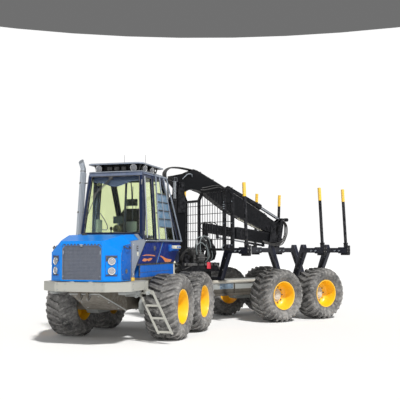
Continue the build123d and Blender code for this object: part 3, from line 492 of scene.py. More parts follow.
def drawRim(bm):
    spinProfile(bm, [
        (-0.06, 0), (-0.06, 0.315), (-0.2, 0.322), (-0.262, 0.333), (-0.262, 0.3365), (0.262, 0.3365),
        (0.268, 0.35), (0.276, 0.356), (0.284, 0.354), (0.286, 0.345), (0.28, 0.333), (0.262, 0.325),
        (0.1, 0.316), (0.03, 0.305), (-0.01, 0.275), (-0.028, 0.245), (-0.042, 0.225), (-0.042, 0),
    ], 72)


def drawHub(bm):
    for near, far, radius, around, end in (
        (-0.043, -0.02, 0.165, 36, None), (-0.022, 0.012, 0.128, 36, 0.115), (0.01, 0.022, 0.075, 24, 0.068),
    ):
        addRod(bm, (0, near, 0), (0, far, 0), radius, around, end)
    for z, x in circlePoints(8, 0.097):
        addRod(bm, (x, 0.005, z), (x, 0.018, z), 0.01, 6)


def drawBolts(bm):
    for z, x in circlePoints(wheel["bolts"], wheel["boltCircle"], 0.5):
        addRod(bm, (x, -0.043, z), (x, -0.022, z), 0.017, 6)
        addRod(bm, (x, -0.024, z), (x, -0.008, z), 0.009, 10)
    addRod(bm, (0.24, 0.02, 0.19), (0.23, 0.06, 0.18), 0.008, 10)


for unit in ("front", "rear"):
    for end, along in (("fore", 0.5), ("aft", -0.5)):
        for side, hand in sides:
            corner = f"{unit}_{end}_{side}"
            place = Matrix.Translation((
                wheel[unit] + along * wheel["spacing"], hand * wheel["track"], wheel["centre"],
            )) @ Matrix.Scale(hand, 4, (0, 1, 0))
            for part, draw, coat, hides in (
                ("tyre", drawTyre, "tyreRubber", (f"tyre_{corner}",)),
                ("rim", drawRim, "rimYellow", (f"rim_{corner}",)),
                ("hub", drawHub, "hubGrey", ()), ("bolts", drawBolts, "castIron", ()),
            ):
                bm = bmesh.new()
                draw(bm)
                bmesh.ops.transform(bm, matrix=place, verts=bm.verts)
                finishPiece(
                    bm, f"{part}_piece_{corner}", coat, f"wheel_{corner}", unit == "front",
                    hides=hides, merge=part != "tyre",
                )
print("forwarder: wheels made")

for node, coat, body, edge in (
    ("hood", "hoodBlue", "hood", 0.016),
    ("bumper", "bumperGrey", "front_frame", 0.008),
    ("front_deck", "bellyBrown", "front_frame", 0.004),
    ("front_frame", "bellyBrown", "front_frame", 0.008),
    ("axle_front", "chassisGrey", "front_frame", 0.008),
    ("axle_rear", "chassisGrey", "rear_frame", 0.008),
    ("articulation_yoke", "craneBlack", "yoke", 0.006),
    ("rear_frame", "chassisGrey", "rear_frame", 0.008),
    ("bogie_front_left", "chassisGrey", "bogie_front_left", 0.02),
    ("bogie_front_right", "chassisGrey", "bogie_front_right", 0.02),
    ("bogie_rear_left", "chassisGrey", "bogie_rear_left", 0.02),
    ("bogie_rear_right", "chassisGrey", "bogie_rear_right", 0.02),
    ("cab_shell", "cabBlue", "front_frame", 0.01),
    ("cab_door", "cabBlue", "door", 0.008),
    ("pillar_panels", "panelSilver", "front_frame", 0.004),
    ("side_boxes", "boxBlue", "front_frame", 0.012),
    ("roof_visor", "craneBlack", "front_frame", 0.006),
    ("ladder", "bumperGrey", "ladder", 0.006),
    ("bunks", "bunkNavy", "rear_frame", 0.008),
    ("headboard", "craneBlack", "rear_frame", 0.01),
    ("crane_base", "craneBlack", "rear_frame", 0.008),
    ("crane_column", "craneBlack", "rear_frame", 0.01),
    ("crane_valves", "darkPlastic", "rear_frame", 0.008),
    ("lift_barrels", "craneBlack", "lift_barrel", 0.004),
    ("lift_rods", "rodChrome", "lift_rod", 0.003),
    ("inner_boom", "craneBlack", "boom", 0.012),
    ("fold_cylinder", "craneBlack", "boom", 0.006),
    ("outer_boom", "craneBlack", "boom", 0.01),
    ("rotator", "castIron", "rotator", 0.006),
    ("grapple_jaw_left", "craneBlack", "jaw_left", 0.006),
    ("grapple_jaw_right", "craneBlack", "jaw_right", 0.006),
):
    dressNode(node, coat, body, edge)
for node, coat in {
    "engine": "castIron", "cab_glass": "cabGlass", "door_glass": "cabGlass", "headlamps": "lampSilver",
    "roof_lamps": "lampSilver", "grille": "grilleGrey", "exhaust": "steelTube", "window_guard": "panelSilver",
    "stakes": "craneBlack", "headboard_mesh": "craneBlack",
}.items():
    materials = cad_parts[node].data.materials
    materials.clear()
    materials.append(coats[coat])
print("forwarder: nodes dressed")

# lamps: a bowl with a turned-in rim, and a domed lens in front of it
lampCut = {"radius": 0.06, "deep": 0.042, "dome": 0.01}


def drawLamps(name, places, body, front, hides=(), radius=lampCut["radius"], housing=0):
    # places: a spot and a direction for each lamp
    bowls, lenses, shells, bulbs = newMeshes(4)
    deep, dome = lampCut["deep"] * radius / 0.06, lampCut["dome"]
    bowl = [
        (0.008, radius * 1.12), (0.01, radius * 1.02), (0.002, radius * 0.97), (-deep * 0.45, radius * 0.78),
        (-deep * 0.85, radius * 0.36), (-deep * 0.9, 0), (-deep, 0), (-deep, radius * 0.5),
        (-deep * 0.6, radius * 1.02), (0, radius * 1.12), (0.008, radius * 1.12),
    ]
    wide = radius * 0.93
    lens = [
        (0, 0), (0, wide), (dome * 0.4, wide), (dome * 0.8, wide * 0.7), (dome, wide * 0.35), (dome * 1.05, 0),
    ]
    for spot, way in places:
        spot, out = Vector(spot), Vector(way).normalized()
        addSpun(bowls, bowl, 32, spot, out)
        addSpun(lenses, lens, 28, spot + out * 0.0005, out)
        addRod(bulbs, spot - out * radius * 0.55, spot - out * radius * 0.2, radius * 0.14, 10, radius * 0.09)
        if housing:
            addRod(shells, spot - out * housing, spot - out * 0.004, radius * 0.75, 24, radius * 1.14)
            addRing(shells, spot - out * 0.006, out, radius * 1.08, radius * 1.2, 0.016)
    finishPiece(bowls, name + "_bowls", "lampSilver", body, front, hides=hides)
    finishPiece(lenses, name + "_lenses", "lampGlass", body, front)
    finishPiece(bulbs, name + "_bulbs", "creamPaint", body, front, "lamp_glass")
    if housing:
        finishPiece(shells, name + "_housings", "darkPlastic", body, front)


# hood: lamp recesses on the cheeks, side panels with pull handles, grille, trim and catches
hoodFit = {
    "half": 0.72, "cheek": (4.25, 0.575), "out": (0.85, 0.527), "lampZ": (1.61, 1.43),
    "grille": 0.392, "grilleZ": (1.272, 1.893), "wire": 0.0042, "pitch": 0.026, "chamfer": 0.055,
}
lampSpots = []
recess, recessPaintedShade, rings = newMeshes(3)
for hand in (1, -1):
    (outX, outY), (cheekX, cheekY) = hoodFit["out"], hoodFit["cheek"]
    out, along = Vector((outX, hand * outY, 0)), Vector((-outY, hand * outX, 0))
    centre = Vector((cheekX, hand * cheekY, 0))
    for height in hoodFit["lampZ"]:
        spot = centre + out * 0.01 + Vector((0, 0, height))
        lampSpots.append((spot, out))
        addRing(rings, spot - out * 0.004, out, lampCut["radius"] * 1.09, lampCut["radius"] * 1.25, 0.012)
    # a shallow raised frame round the pair, open where the lamps are
    corners = [(-0.115, 1.335), (0.105, 1.335), (0.105, 1.715), (-0.115, 1.715)]
    frameLine = [centre + along * u + out * 0.001 + Vector((0, 0, v)) for u, v in corners]
    for start, end in zip(frameLine, frameLine[1:] + frameLine[:1]):
        addRod(recess, start, end, 0.007, 8)
    # dark plates along the top and bottom inside the frame and a wedge in one upper corner: painted shade of
    # the lamp recess
    for low, high in ((1.345, 1.368), (1.672, 1.705)):
        quad = ((-0.105, low), (0.095, low), (0.095, high), (-0.105, high))
        addPlate(
            recessPaintedShade, [centre + along * u + out * 0.0004 + Vector((0, 0, v)) for u, v in quad], out * 0.003, 0.001,
        )
    quad = ((-0.105, 1.6), (-0.075, 1.62), (-0.06, 1.69), (-0.105, 1.69))
    addPlate(
        recessPaintedShade, [centre + along * u + out * 0.0006 + Vector((0, 0, v)) for u, v in quad], out * 0.004, 0.001,
    )
# the lamp frames take the darker hood blue: painted shade
finishRows("hood", True,
    (recess, "lamp_frames", "shadedHoodBlue"),
    (recessPaintedShade, "lamp_recess_painted_shade", "darkPlastic"),
    (rings, "lamp_rings", "steelTube", "lamp_glass"),
)
drawLamps("headlamp", lampSpots, "hood", True, ("headlamps",), housing=0.05)

for side, hand in sides:
    seal, panel, grip, latch = newMeshes(4)
    flank = hand * hoodFit["half"]
    panelOutline = [
        (3.705, 1.262), (4.05, 1.262), (4.11, 1.3), (4.138, 1.44), (4.138, 1.7), (4.1, 1.8), (4.03, 1.868),
        (3.94, 1.905), (3.705, 1.925),
    ]
    grown = [(x + (0.006 if x > 3.8 else -0.004), z + (0.006 if z > 1.6 else -0.006)) for x, z in panelOutline]
    addPlate(seal, [(x, flank, z) for x, z in grown], (0, hand * 0.002, 0))
    addPlate(panel, [(x, flank + hand * 0.001, z) for x, z in panelOutline], (0, hand * 0.007, 0), 0.003)
    for x, z in ((3.73, 1.29), (3.73, 1.6), (3.73, 1.88), (4.09, 1.36), (4.09, 1.62)):
        addBolt(latch, (x, flank + hand * 0.008, z), (0, hand, 0), 0.007)
    addRod(latch, (3.93, flank + hand * 0.007, 1.42), (3.93, flank + hand * 0.012, 1.42), 0.045, 28)
    addRing(latch, (3.93, flank + hand * 0.01, 1.42), (0, hand, 0), 0.036, 0.047, 0.006)
    addBlock(latch, (3.918, 3.942), (flank + hand * 0.01, flank + hand * 0.022), (1.395, 1.445), 0.003)
    pull = (
        (4.045, 0.006, 1.88), (4.04, 0.045, 1.868), (3.99, 0.052, 1.838),
        (3.86, 0.052, 1.836), (3.805, 0.046, 1.862), (3.8, 0.006, 1.88),
    )
    addTube(grip, [(x, flank + hand * out, z) for x, out, z in pull], 0.01)
    for x in (4.045, 3.8):
        addRod(grip, (x, flank + hand * 0.004, 1.88), (x, flank + hand * 0.016, 1.88), 0.019, 16)
    # the side panels take the darker hood blue: painted shade of the hood's flanks
    finishRows("hood", True,
        (seal, f"hood_panel_seal_{side}", "innerRubber"),
        (panel, f"hood_panel_{side}", "shadedHoodBlue"),
        (latch, f"hood_panel_latches_{side}", "castIron"),
        (grip, f"hood_pull_{side}", "darkPlastic"),
    )

mesh, border, comb = newMeshes(3)
span, (lowZ, highZ) = hoodFit["grille"], hoodFit["grilleZ"]
for k in range(round(2 * span / hoodFit["pitch"]) + 1):
    y = -span + k * hoodFit["pitch"]
    cut = max(0, abs(y) - (span - hoodFit["chamfer"]))
    addRod(mesh, (4.323, y, lowZ), (4.323, y, highZ - cut), hoodFit["wire"], 6)
for k in range(round((highZ - lowZ) / hoodFit["pitch"])):
    z = lowZ + k * hoodFit["pitch"]
    cut = max(0, z - (highZ - hoodFit["chamfer"]))
    addRod(mesh, (4.3262, -span + cut, z), (4.3262, span - cut, z), hoodFit["wire"], 6)
ring = [(-0.398, 1.268), (0.398, 1.268), (0.398, 1.842), (0.343, 1.899), (-0.343, 1.899), (-0.398, 1.842)]
addPlate(border, [(4.295, y, z) for y, z in ring], (0.004, 0, 0))
for (a, b), (c, d) in zip(ring, ring[1:] + ring[:1]):
    addRod(mesh, (4.325, a, b), (4.325, c, d), 0.0075, 10)
for k in range(11):
    y = -0.345 + 0.069 * k
    if k == 5:
        addBlock(comb, (4.334, 4.3405), (y - 0.02, y + 0.02), (1.862, 1.882), 0.002)
        continue
    addBlock(comb, (4.333, 4.3415), (y - 0.019, y + 0.019), (1.909, 1.931), 0.002)
for hand in (1, -1):
    addPlate(
        comb,
        [(4.3385, hand * y, z) for y, z in ((0.362, 1.925), (0.378, 1.925), (0.418, 1.87), (0.402, 1.87))],
        (0.003, 0, 0), 0.001,
    )
catch = bmesh.new()
addBlock(catch, (4.336, 4.352), (-0.032, 0.032), (1.903, 1.924), 0.004)
addBlock(catch, (4.332, 4.346), (-0.02, 0.02), (1.88, 1.903), 0.004)
for hand in (1, -1):
    for z, tall in ((1.77, 0.035), (1.33, 0.012)):
        addBlock(catch, (4.326, 4.338), (hand * 0.372, hand * 0.388), (z - tall, z + tall), 0.003)
        addRod(catch, (4.33, hand * 0.38, z), (4.342, hand * 0.38, z), 0.005, 10)
finishRows("hood", True,
    (border, "radiator_core", "grilleGrey"),
    (mesh, "grille_mesh", "grilleGrey", None, ("grille",)),
    (comb, "grille_comb", "darkPlastic"),
    (catch, "grille_catches", "steelTube", "frame_grey"),
)

# hood top: gutter strips on the rear shoulders, hinge bosses, filler cap and the bead along each shoulder
strips, beads, fill = newMeshes(3)
for hand in (1, -1):
    quad = [
        (3.29, hand * 0.607, 2.128), (3.085, hand * 0.607, 2.134), (3.085, hand * 0.712, 1.997),
        (3.23, hand * 0.712, 1.992),
    ]
    addPlate(strips, quad, Vector((0, hand * 0.0045, 0.0035)), 0.002)
    addBlock(strips, (3.07, 3.1), (hand * 0.56, hand * 0.6), (2.128, 2.14), 0.003)
    addTube(
        beads, [(4.31, hand * 0.437, 1.99), (3.75, hand * 0.57, 2.1), (3.08, hand * 0.599, 2.129)], 0.005,
        False, 2,
    )
addTube(beads, [(4.315, -0.4, 1.972), (4.32, 0, 1.974), (4.315, 0.4, 1.972)], 0.005, True, 2, 6)
addRod(fill, (3.55, -0.34, 2.1), (3.55, -0.34, 2.135), 0.055, 28, 0.05)
addRod(fill, (3.55, -0.34, 2.135), (3.55, -0.34, 2.146), 0.036, 6)
for x, y in ((3.35, 0.42), (3.35, -0.42), (3.98, 0.4), (3.98, -0.4)):
    base = 2.118 if x < 3.7 else 2.046
    addBolt(fill, (x, y, base), (0, 0, 1), 0.01)
finishRows("hood", True,
    (strips, "hood_gutters", "panelSilver"),
    (beads, "hood_beads", "hoodBlue"),
    (fill, "hood_caps", "darkPlastic"),
)

# corner posts between the hood and the cab, with their yellow feet and louvres
panelFace = 0.7205
for side, hand in sides:
    post, feet, vents = newMeshes(3)
    addBlock(post, (3.588, 3.682), (hand * 0.7215, hand * 0.752), (1.292, 1.972), 0.008)
    for x in (3.604, 3.658):
        addBlock(post, (x, x + 0.008), (hand * 0.75, hand * 0.758), (1.32, 1.95), 0.002)
    addBlock(feet, (3.584, 3.686), (hand * 0.721, hand * 0.756), (1.226, 1.29), 0.006)
    for z in (1.89, 1.85, 1.81):
        addBlock(vents, (3.325, 3.405), (hand * panelFace, hand * 0.7235), (z - 0.01, z + 0.01), 0.001)
    addBlock(vents, (3.4, 3.41), (hand * panelFace, hand * 0.7238), (1.798, 1.902), 0.001)
    label = bmesh.new()
    addBlock(label, (3.31, 3.388), (hand * panelFace, hand * 0.723), (1.7, 1.775), 0.001)
    for x, z in ((3.64, 1.35), (3.64, 1.92)):
        addBolt(label, (x, hand * 0.7525, z), (0, hand, 0), 0.008)
    finishRows("front_frame", True,
        (post, f"corner_post_{side}", "panelSilver"),
        (feet, f"corner_post_foot_{side}", "stakeYellow"),
        (vents, f"panel_vents_{side}", "innerRubber"),
        (label, f"panel_blank_plate_{side}", "creamPaint"),
    )
print("forwarder: hood fitted")

# skirts: a navy skin with orange sweeps, black joints and a painted highlight beside each joint, and the rail
# along their top
skirt = {"skin": panelFace, "thick": 0.006}
frontSkin = [(3.352, 1.548), (2.93, 1.957), (2.342, 1.981), (2.435, 1.548)]
rearSkin = [(2.412, 1.548), (2.318, 1.981), (0.8, 1.981), (1.262, 1.548)]
sweepArc = [
    (3.14, 1.7), (3.04, 1.716), (2.928, 1.724), (2.7, 1.72), (2.47, 1.708), (2.412, 1.688), (2.47, 1.684),
    (2.7, 1.7), (2.928, 1.704), (3.04, 1.7),
]
sweepFoot = [
    (3.144, 1.602), (3.09, 1.634), (3.036, 1.651), (2.93, 1.64), (2.844, 1.633), (2.76, 1.646), (2.675, 1.652),
    (2.588, 1.645), (2.65, 1.612), (2.716, 1.595), (2.815, 1.586), (2.857, 1.608), (2.92, 1.592),
    (2.981, 1.586), (3.06, 1.59),
]
rearSweep = [
    (2.204, 1.69), (2.051, 1.69), (1.88, 1.655), (1.735, 1.628), (1.59, 1.612), (1.439, 1.607), (1.43, 1.575),
    (1.489, 1.552), (1.66, 1.55), (1.83, 1.554), (1.894, 1.592), (2.004, 1.65), (2.11, 1.676),
]


def addSkin(bm, points, hand, base, thick, edge=0):
    addPlate(bm, [(x, hand * base, z) for x, z in points], (0, hand * thick, 0), edge)


for side, hand in sides:
    doorBody = "door" if hand > 0 else "front_frame"
    for part, body, skin, marks in (
        ("front", doorBody, frontSkin, (sweepArc, sweepFoot)), ("rear", "front_frame", rearSkin, (rearSweep,)),
    ):
        cover, sweeps = newMeshes(2)
        addSkin(cover, skin, hand, skirt["skin"], skirt["thick"], 0.0022)
        for mark in marks:
            addSkin(sweeps, mark, hand, skirt["skin"] + skirt["thick"], 0.0012)
        finishRows(body, True,
            (cover, f"skirt_skin_{part}_{side}", "skirtBlue"),
            (sweeps, f"skirt_sweep_{part}_{side}", "swooshOrange"),
        )
    joint, pale, line = newMeshes(3)
    addSkin(
        joint, [(2.385, 1.548), (2.33, 1.548), (1.965, 1.981), (2.012, 1.981)], hand,
        skirt["skin"] + skirt["thick"], 0.0015,
    )
    # a bright blue strip beside the joint: painted highlight on the panel's edge
    addSkin(
        pale, [(2.33, 1.548), (2.3, 1.548), (1.945, 1.981), (1.965, 1.981)], hand,
        skirt["skin"] + skirt["thick"], 0.0022,
    )
    addBlock(line, (1.255, 3.38), (hand * 0.7165, hand * 0.7225), (1.512, 1.532), 0.002)
    addBlock(line, (1.42, 3.215), (hand * 0.7155, hand * 0.7175), (1.366, 1.374), 0.001)
    addRod(line, (3.245, hand * 0.714, 1.3), (3.245, hand * 0.714, 1.5), 0.012, 12)
    finishRows("front_frame", True,
        (joint, f"skirt_joint_{side}", "innerRubber"),
        (pale, f"skirt_painted_highlight_{side}", "hoodBlue"),
        (line, f"box_lines_{side}", "innerRubber"),
    )
    for part, body, start, end in (("front", doorBody, 2.945, 2.345), ("rear", "front_frame", 2.315, 0.86)):
        rail, wide = bmesh.new(), 0.742
        bar = [(x, hand * wide, 2.005) for x in (start - 0.012, start - 0.03, end + 0.03, end + 0.012)]
        addTube(rail, [(start, hand * 0.722, 2.003), *bar, (end, hand * 0.722, 2.003)], 0.011, True, 3, 6)
        for k in range(3):
            x = start + (end - start) * (0.2 + 0.3 * k)
            addRod(rail, (x, hand * 0.7, 2.003), (x, hand * wide, 2.005), 0.009, 10)
        finishPiece(rail, f"waist_rail_{part}_{side}", "steelTube", body, True)
print("forwarder: skirts fitted")

# cab: the outer skin leans in above the waist, so places on it are found from a height
cab = {
    "half": 0.7, "roofHalf": 0.605, "waist": 2, "roof": 3.43, "front": 3.03, "frontFoot": 2.13,
    "header": 2.83, "rear": 0.85, "rearRoof": 1.7,
}


def sideAt(z, out=0):
    share = max(0, (z - cab["waist"]) / (cab["roof"] - cab["waist"]))
    return cab["half"] + (cab["roofHalf"] - cab["half"]) * share + out


def screenAt(z, out=0):
    share = max(0, (z - cab["frontFoot"]) / (cab["roof"] - cab["frontFoot"]))
    return cab["front"] + (cab["header"] - cab["front"]) * share + out


def rearAt(z, out=0):
    share = max(0, (z - cab["waist"]) / (cab["roof"] - cab["waist"]))
    return cab["rear"] + (cab["rearRoof"] - cab["rear"]) * share - out


def onSide(points, hand, out):
    return [(x, hand * sideAt(z, out), z) for x, z in points]


def onScreen(points, out):
    return [(screenAt(z, out), y, z) for y, z in points]


def windowSeal(bm, corners, radius=0.007):
    for a, b in zip(corners, corners[1:] + corners[:1]):
        addRod(bm, a, b, radius, 8)
        addBall(bm, a, radius, 8, 6)


seals, doorSeal = newMeshes(2)
windowSeal(seals, onScreen(((-0.615, 2.17), (0.615, 2.17), (0.535, 3.34), (-0.535, 3.34)), 0.002))
windowSeal(
    seals, [(rearAt(z, 0.002), y, z) for y, z in ((-0.61, 2.06), (0.61, 2.06), (0.53, 3.34), (-0.53, 3.34))],
)
for hand in (1, -1):
    windowSeal(seals, onSide(((0.96, 2.04), (2.27, 2.04), (2.27, 3.315), (1.77, 3.315)), hand, 0.002))
    target = doorSeal if hand > 0 else seals
    windowSeal(target, onSide((
        (2.385, 2.04), (2.905, 2.04), (2.905, 2.13), (2.72, 3.315), (2.385, 3.315),
    ), hand, 0.002))
finishPiece(seals, "window_seals", "innerRubber", "front_frame", True)
finishPiece(doorSeal, "door_window_seal", "innerRubber", "door", True)

# header band, rain gutters and the silver tube beside the left front pillar
band, gutters = newMeshes(2)
addPlate(
    band, onScreen(((-0.6, 3.352), (0.6, 3.352), (0.596, 3.425), (-0.596, 3.425)), 0.0005), (0.006, 0, 0),
    0.002,
)
for hand in (1, -1):
    addPlate(
        band, onSide(((1.72, 3.382), (2.815, 3.382), (2.812, 3.425), (1.72, 3.425)), hand, 0.0005),
        (0, hand * 0.006, 0), 0.002,
    )
    addTube(gutters, [
        (1.69, hand * 0.612, 3.436), (2.1, hand * 0.614, 3.438), (2.8, hand * 0.612, 3.436),
        (2.845, hand * 0.58, 3.436), (2.852, 0, 3.438),
    ], 0.011, False, 2)
    if hand < 0:
        addRod(
            gutters, (2.99, hand * sideAt(2.05, 0.014), 2.05), (2.8, hand * sideAt(3.38, 0.014), 3.38), 0.013,
            12,
        )
finishRows("front_frame", True,
    (band, "cab_header_band", "headerBlue"),
    (gutters, "cab_gutters", "steelTube"),
)
tube = bmesh.new()
addRod(tube, (2.85, sideAt(2.06, 0.024), 2.06), (2.8, sideAt(3.33, 0.02), 3.33), 0.015, 14)
for z in (2.1, 2.7, 3.29):
    x = 2.85 - 0.05 * (z - 2.06) / 1.27
    addRod(tube, (x, sideAt(z, -0.004), z), (x, sideAt(z, 0.024), z), 0.01, 10)
finishPiece(tube, "door_grab_tube", "steelTube", "door", True)

# windscreen: blue-grey blind with a bowed lower edge, wiper, cables and the mirror by the right pillar
blind, wiper, trim = newMeshes(3)
edge = [
    (0.18, 3.172), (0.12, 3.15), (0.04, 3.128), (-0.04, 3.124), (-0.12, 3.136), (-0.2, 3.168), (-0.3, 3.2),
    (-0.42, 3.215), (-0.535, 3.222),
]
blindOutline = [(-0.54, 3.338), (0.54, 3.338), (0.545, 3.24), (0.36, 3.235), (0.27, 3.215), *edge]
addPlate(blind, onScreen(blindOutline, -0.055), (-0.004, 0, 0.0005), 0.001)
addBlock(wiper, (screenAt(3.3, 0.006), screenAt(3.3, 0.045)), (-0.13, -0.05), (3.27, 3.33), 0.008)
for a, b, radius in (
    ((-0.1, 3.3), (-0.43, 2.98), 0.011), ((-0.07, 3.29), (-0.4, 2.97), 0.008),
    ((-0.36, 3.06), (-0.6, 2.42), 0.008), ((-0.3, 3.1), (-0.505, 2.9), 0.006),
):
    addRod(wiper, (screenAt(a[1], 0.026), *a), (screenAt(b[1], 0.022), *b), radius, 10, radius * 0.8)
addBlock(wiper, (screenAt(2.94, 0.01), screenAt(2.94, 0.028)), (-0.46, -0.4), (2.9, 2.99), 0.006)
addRod(wiper, (screenAt(3.08, 0.012), -0.56, 3.08), (screenAt(2.36, 0.012), -0.615, 2.36), 0.009, 8, 0.006)
addRod(trim, (screenAt(3.19, -0.05), -0.4, 3.19), (screenAt(3.19, -0.09), -0.395, 3.18), 0.04, 24, 0.034)
addTube(trim, [
    (screenAt(3.19, -0.06), -0.405, 3.19), (screenAt(3.2, -0.05), -0.47, 3.175),
    (screenAt(3.25, -0.04), -0.52, 3.215), (screenAt(3.33, -0.04), -0.535, 3.32),
], 0.007)
finishRows("front_frame", True,
    (blind, "sun_blind", "blindFilm"),
    (wiper, "wiper", "darkPlastic"),
    (trim, "cab_mirror", "darkPlastic"),
)

# inside: liners down the right pillar, far posts, monitors, steering head, pods and the grey side box
inner, screens, pods = newMeshes(3)
addPlate(
    inner, [(x, -0.6, z) for x, z in ((2.72, 2.02), (2.64, 3.32), (2.4, 3.32), (2.36, 2.02))], (0, 0.035, 0),
    0.012,
)
addTube(inner, [(2.68, -0.54, 1.6), (2.7, -0.54, 2.2), (2.62, -0.53, 2.85), (2.6, -0.5, 3.25)], 0.016)
addTube(inner, [(2.58, -0.54, 1.6), (2.6, -0.52, 2.3), (2.52, -0.5, 2.75), (2.58, -0.52, 3.25)], 0.01)
addTube(inner, [
    (2.45, -0.53, 2.6), (2.44, -0.44, 2.48), (2.4, -0.36, 2.3), (2.42, -0.4, 2.22), (2.46, -0.5, 2.26),
], 0.008)
addRod(inner, (2.08, -0.14, 1.6), (2, -0.12, 3.32), 0.03, 14, 0.024)
addRod(inner, (1.98, 0.02, 2.2), (1.94, 0.01, 3.2), 0.008, 10)
addBlock(inner, (1.35, 2.6), (-0.5, 0.5), (3.345, 3.38), 0.012)
for hand in (1, -1):
    addBlock(inner, (1.8, 2.3), (hand * 0.32, hand * 0.46), (2.06, 2.13), 0.02)
    addTube(inner, [(2.22, hand * 0.38, 2.12), (2.23, hand * 0.37, 2.2), (2.25, hand * 0.36, 2.26)], 0.013)
    addBall(pods, (2.25, hand * 0.36, 2.275), 0.032, 20, 12, Matrix.Scale(1.3, 4, (0, 0, 1)))
    addRod(pods, (2.25, hand * 0.36, 2.255), (2.25, hand * 0.36, 2.235), 0.02, 16)
addBlock(screens, (2.4, 2.43), (-0.235, -0.01), (2.375, 2.53), 0.01)
addBlock(screens, (1.58, 1.605), (-0.3, -0.02), (2.8, 2.955), 0.01)
addTube(inner, [(1.59, -0.16, 2.94), (1.585, -0.16, 3.14), (1.66, -0.16, 3.35)], 0.012)
for y in (-0.26, -0.06):
    addRod(inner, (1.59, y, 2.7), (1.59, y, 2.81), 0.007, 8)
addTube(inner, [(2.415, -0.12, 2.38), (2.44, -0.12, 2.2), (2.48, -0.14, 1.9), (2.5, -0.16, 1.6)], 0.022)
addBall(pods, (2.43, -0.125, 2.255), 0.088, 28, 16, Matrix.Scale(0.75, 4, (1, 0, 0)))
addRing(pods, (2.47, -0.125, 2.255), (1, 0, 0.2), 0.066, 0.092, 0.02)
addRod(screens, (2.485, -0.125, 2.262), (2.503, -0.125, 2.266), 0.022, 20, 0.018)
box = bmesh.new()
addBlock(box, (2.1, 2.16), (-0.055, 0.185), (2.215, 2.425), 0.012)
addBlock(box, (2.08, 2.2), (-0.02, 0.15), (1.62, 2.22), 0.02)
addBlock(box, (2.44, 2.66), (-0.6, -0.47), (1.585, 2.46), 0.025)
addBlock(box, (2.44, 2.7), (0.47, 0.6), (1.585, 1.98), 0.025)
finishRows("front_frame", True,
    (inner, "cab_liners", "linerBlue"),
    (screens, "cab_screens", "screenBlue"),
    (pods, "cab_controls", "darkPlastic", None, ("cab_console",)),
    (box, "cab_side_boxes", "cabinGrey"),
)

# seat: crowned cushions with a welt round each, on a pedestal with a bellows
seatSet = {"y": -0.135, "back": 1.655, "cushionZ": 1.985}


def addCushion(bm, centre, size, crown, lean=0, shoulder=0):
    made = bmesh.new()
    bmesh.ops.create_cube(made, size=1)
    bmesh.ops.subdivide_edges(made, edges=made.edges[:], cuts=9, use_grid_fill=True)
    for v in made.verts:
        a, b, c = (2 * value for value in v.co)
        # round the corners, draw in the shoulders and press a seam down each side of the panel
        fall = (1 - a**4) * (1 - b**4)
        rim = 1 - 0.1 * (abs(a * b) ** 6)
        squeeze = 1 - shoulder * max(0, b) ** 4
        seam = 1 - 0.22 * math.exp(-(((abs(a) - 0.52) / 0.05) ** 2))
        depth = c * size[2] / 2 * (0.55 + 0.45 * fall) + (crown * fall * seam if c > 0 else 0)
        v.co = (a * size[0] / 2 * rim * squeeze, b * size[1] / 2 * rim, depth)
    roundEdges(made, [e for e in made.edges if e.is_manifold and e.calc_face_angle(0) > 0.6], 0.006, 2)
    upright = Matrix(((0, 0, 1, 0), (1, 0, 0, 0), (0, 1, 0, 0), (0, 0, 0, 1)))
    turn = Matrix.Translation(centre) @ Matrix.Rotation(lean, 4, "Y") @ upright
    bmesh.ops.transform(made, matrix=turn, verts=made.verts)
    joinInto(bm, made)


backrest, cushion, welts, base = newMeshes(4)
addCushion(backrest, (seatSet["back"], seatSet["y"], 2.365), (0.54, 0.74, 0.1), 0.022, -0.1, 0.16)
lay = bmesh.new()
addCushion(lay, (0, 0, 0), (0.49, 0.48, 0.11), 0.02)
down = Matrix.Translation((1.9, seatSet["y"], seatSet["cushionZ"] - 0.02))
flat = down @ Matrix.Rotation(-math.pi / 2, 4, "Y")
bmesh.ops.transform(lay, matrix=flat, verts=lay.verts)
joinInto(cushion, lay)
weltLine = (
    (-1, -0.9), (-0.9, -1), (0.9, -1), (1, -0.9), (1, 0.7), (0.93, 0.92), (0.8, 1), (-0.8, 1), (-0.93, 0.92),
    (-1, 0.7), (-1, -0.9),
)
welt = []
for u, v in weltLine:
    drawn = 1 - 0.14 * max(0, v) ** 4
    welt.append((seatSet["back"] + 0.01 - 0.1 * v * 0.37, seatSet["y"] + u * 0.271 * drawn, 2.365 + v * 0.366))
addTube(welts, welt, 0.006, False, 2)
addBlock(base, (1.74, 2.06), (seatSet["y"] - 0.18, seatSet["y"] + 0.18), (1.572, 1.66), 0.015)
for k in range(6):
    addRing(base, (1.9, seatSet["y"], 1.665 + 0.035 * k), (0, 0, 1), 0.02, 0.175 - 0.012 * (k % 2), 0.03)
addBlock(base, (1.68, 2.13), (seatSet["y"] - 0.215, seatSet["y"] + 0.215), (1.868, 1.915), 0.015)
addBlock(base, (1.625, 1.66), (seatSet["y"] - 0.05, seatSet["y"] + 0.05), (1.87, 2.1), 0.01)
back = finishPiece(
    backrest, "seat_backrest", "seatCloth", "front_frame", True, hides=("operator_seat",), sharp=60,
)
sit = finishPiece(cushion, "seat_cushion", "seatCloth", "front_frame", True, sharp=60)
finishRows("front_frame", True,
    (welts, "seat_welts", "darkPlastic", "seat_cloth"),
    (base, "seat_base", "darkPlastic"),
)
print("forwarder: cab fitted inside")

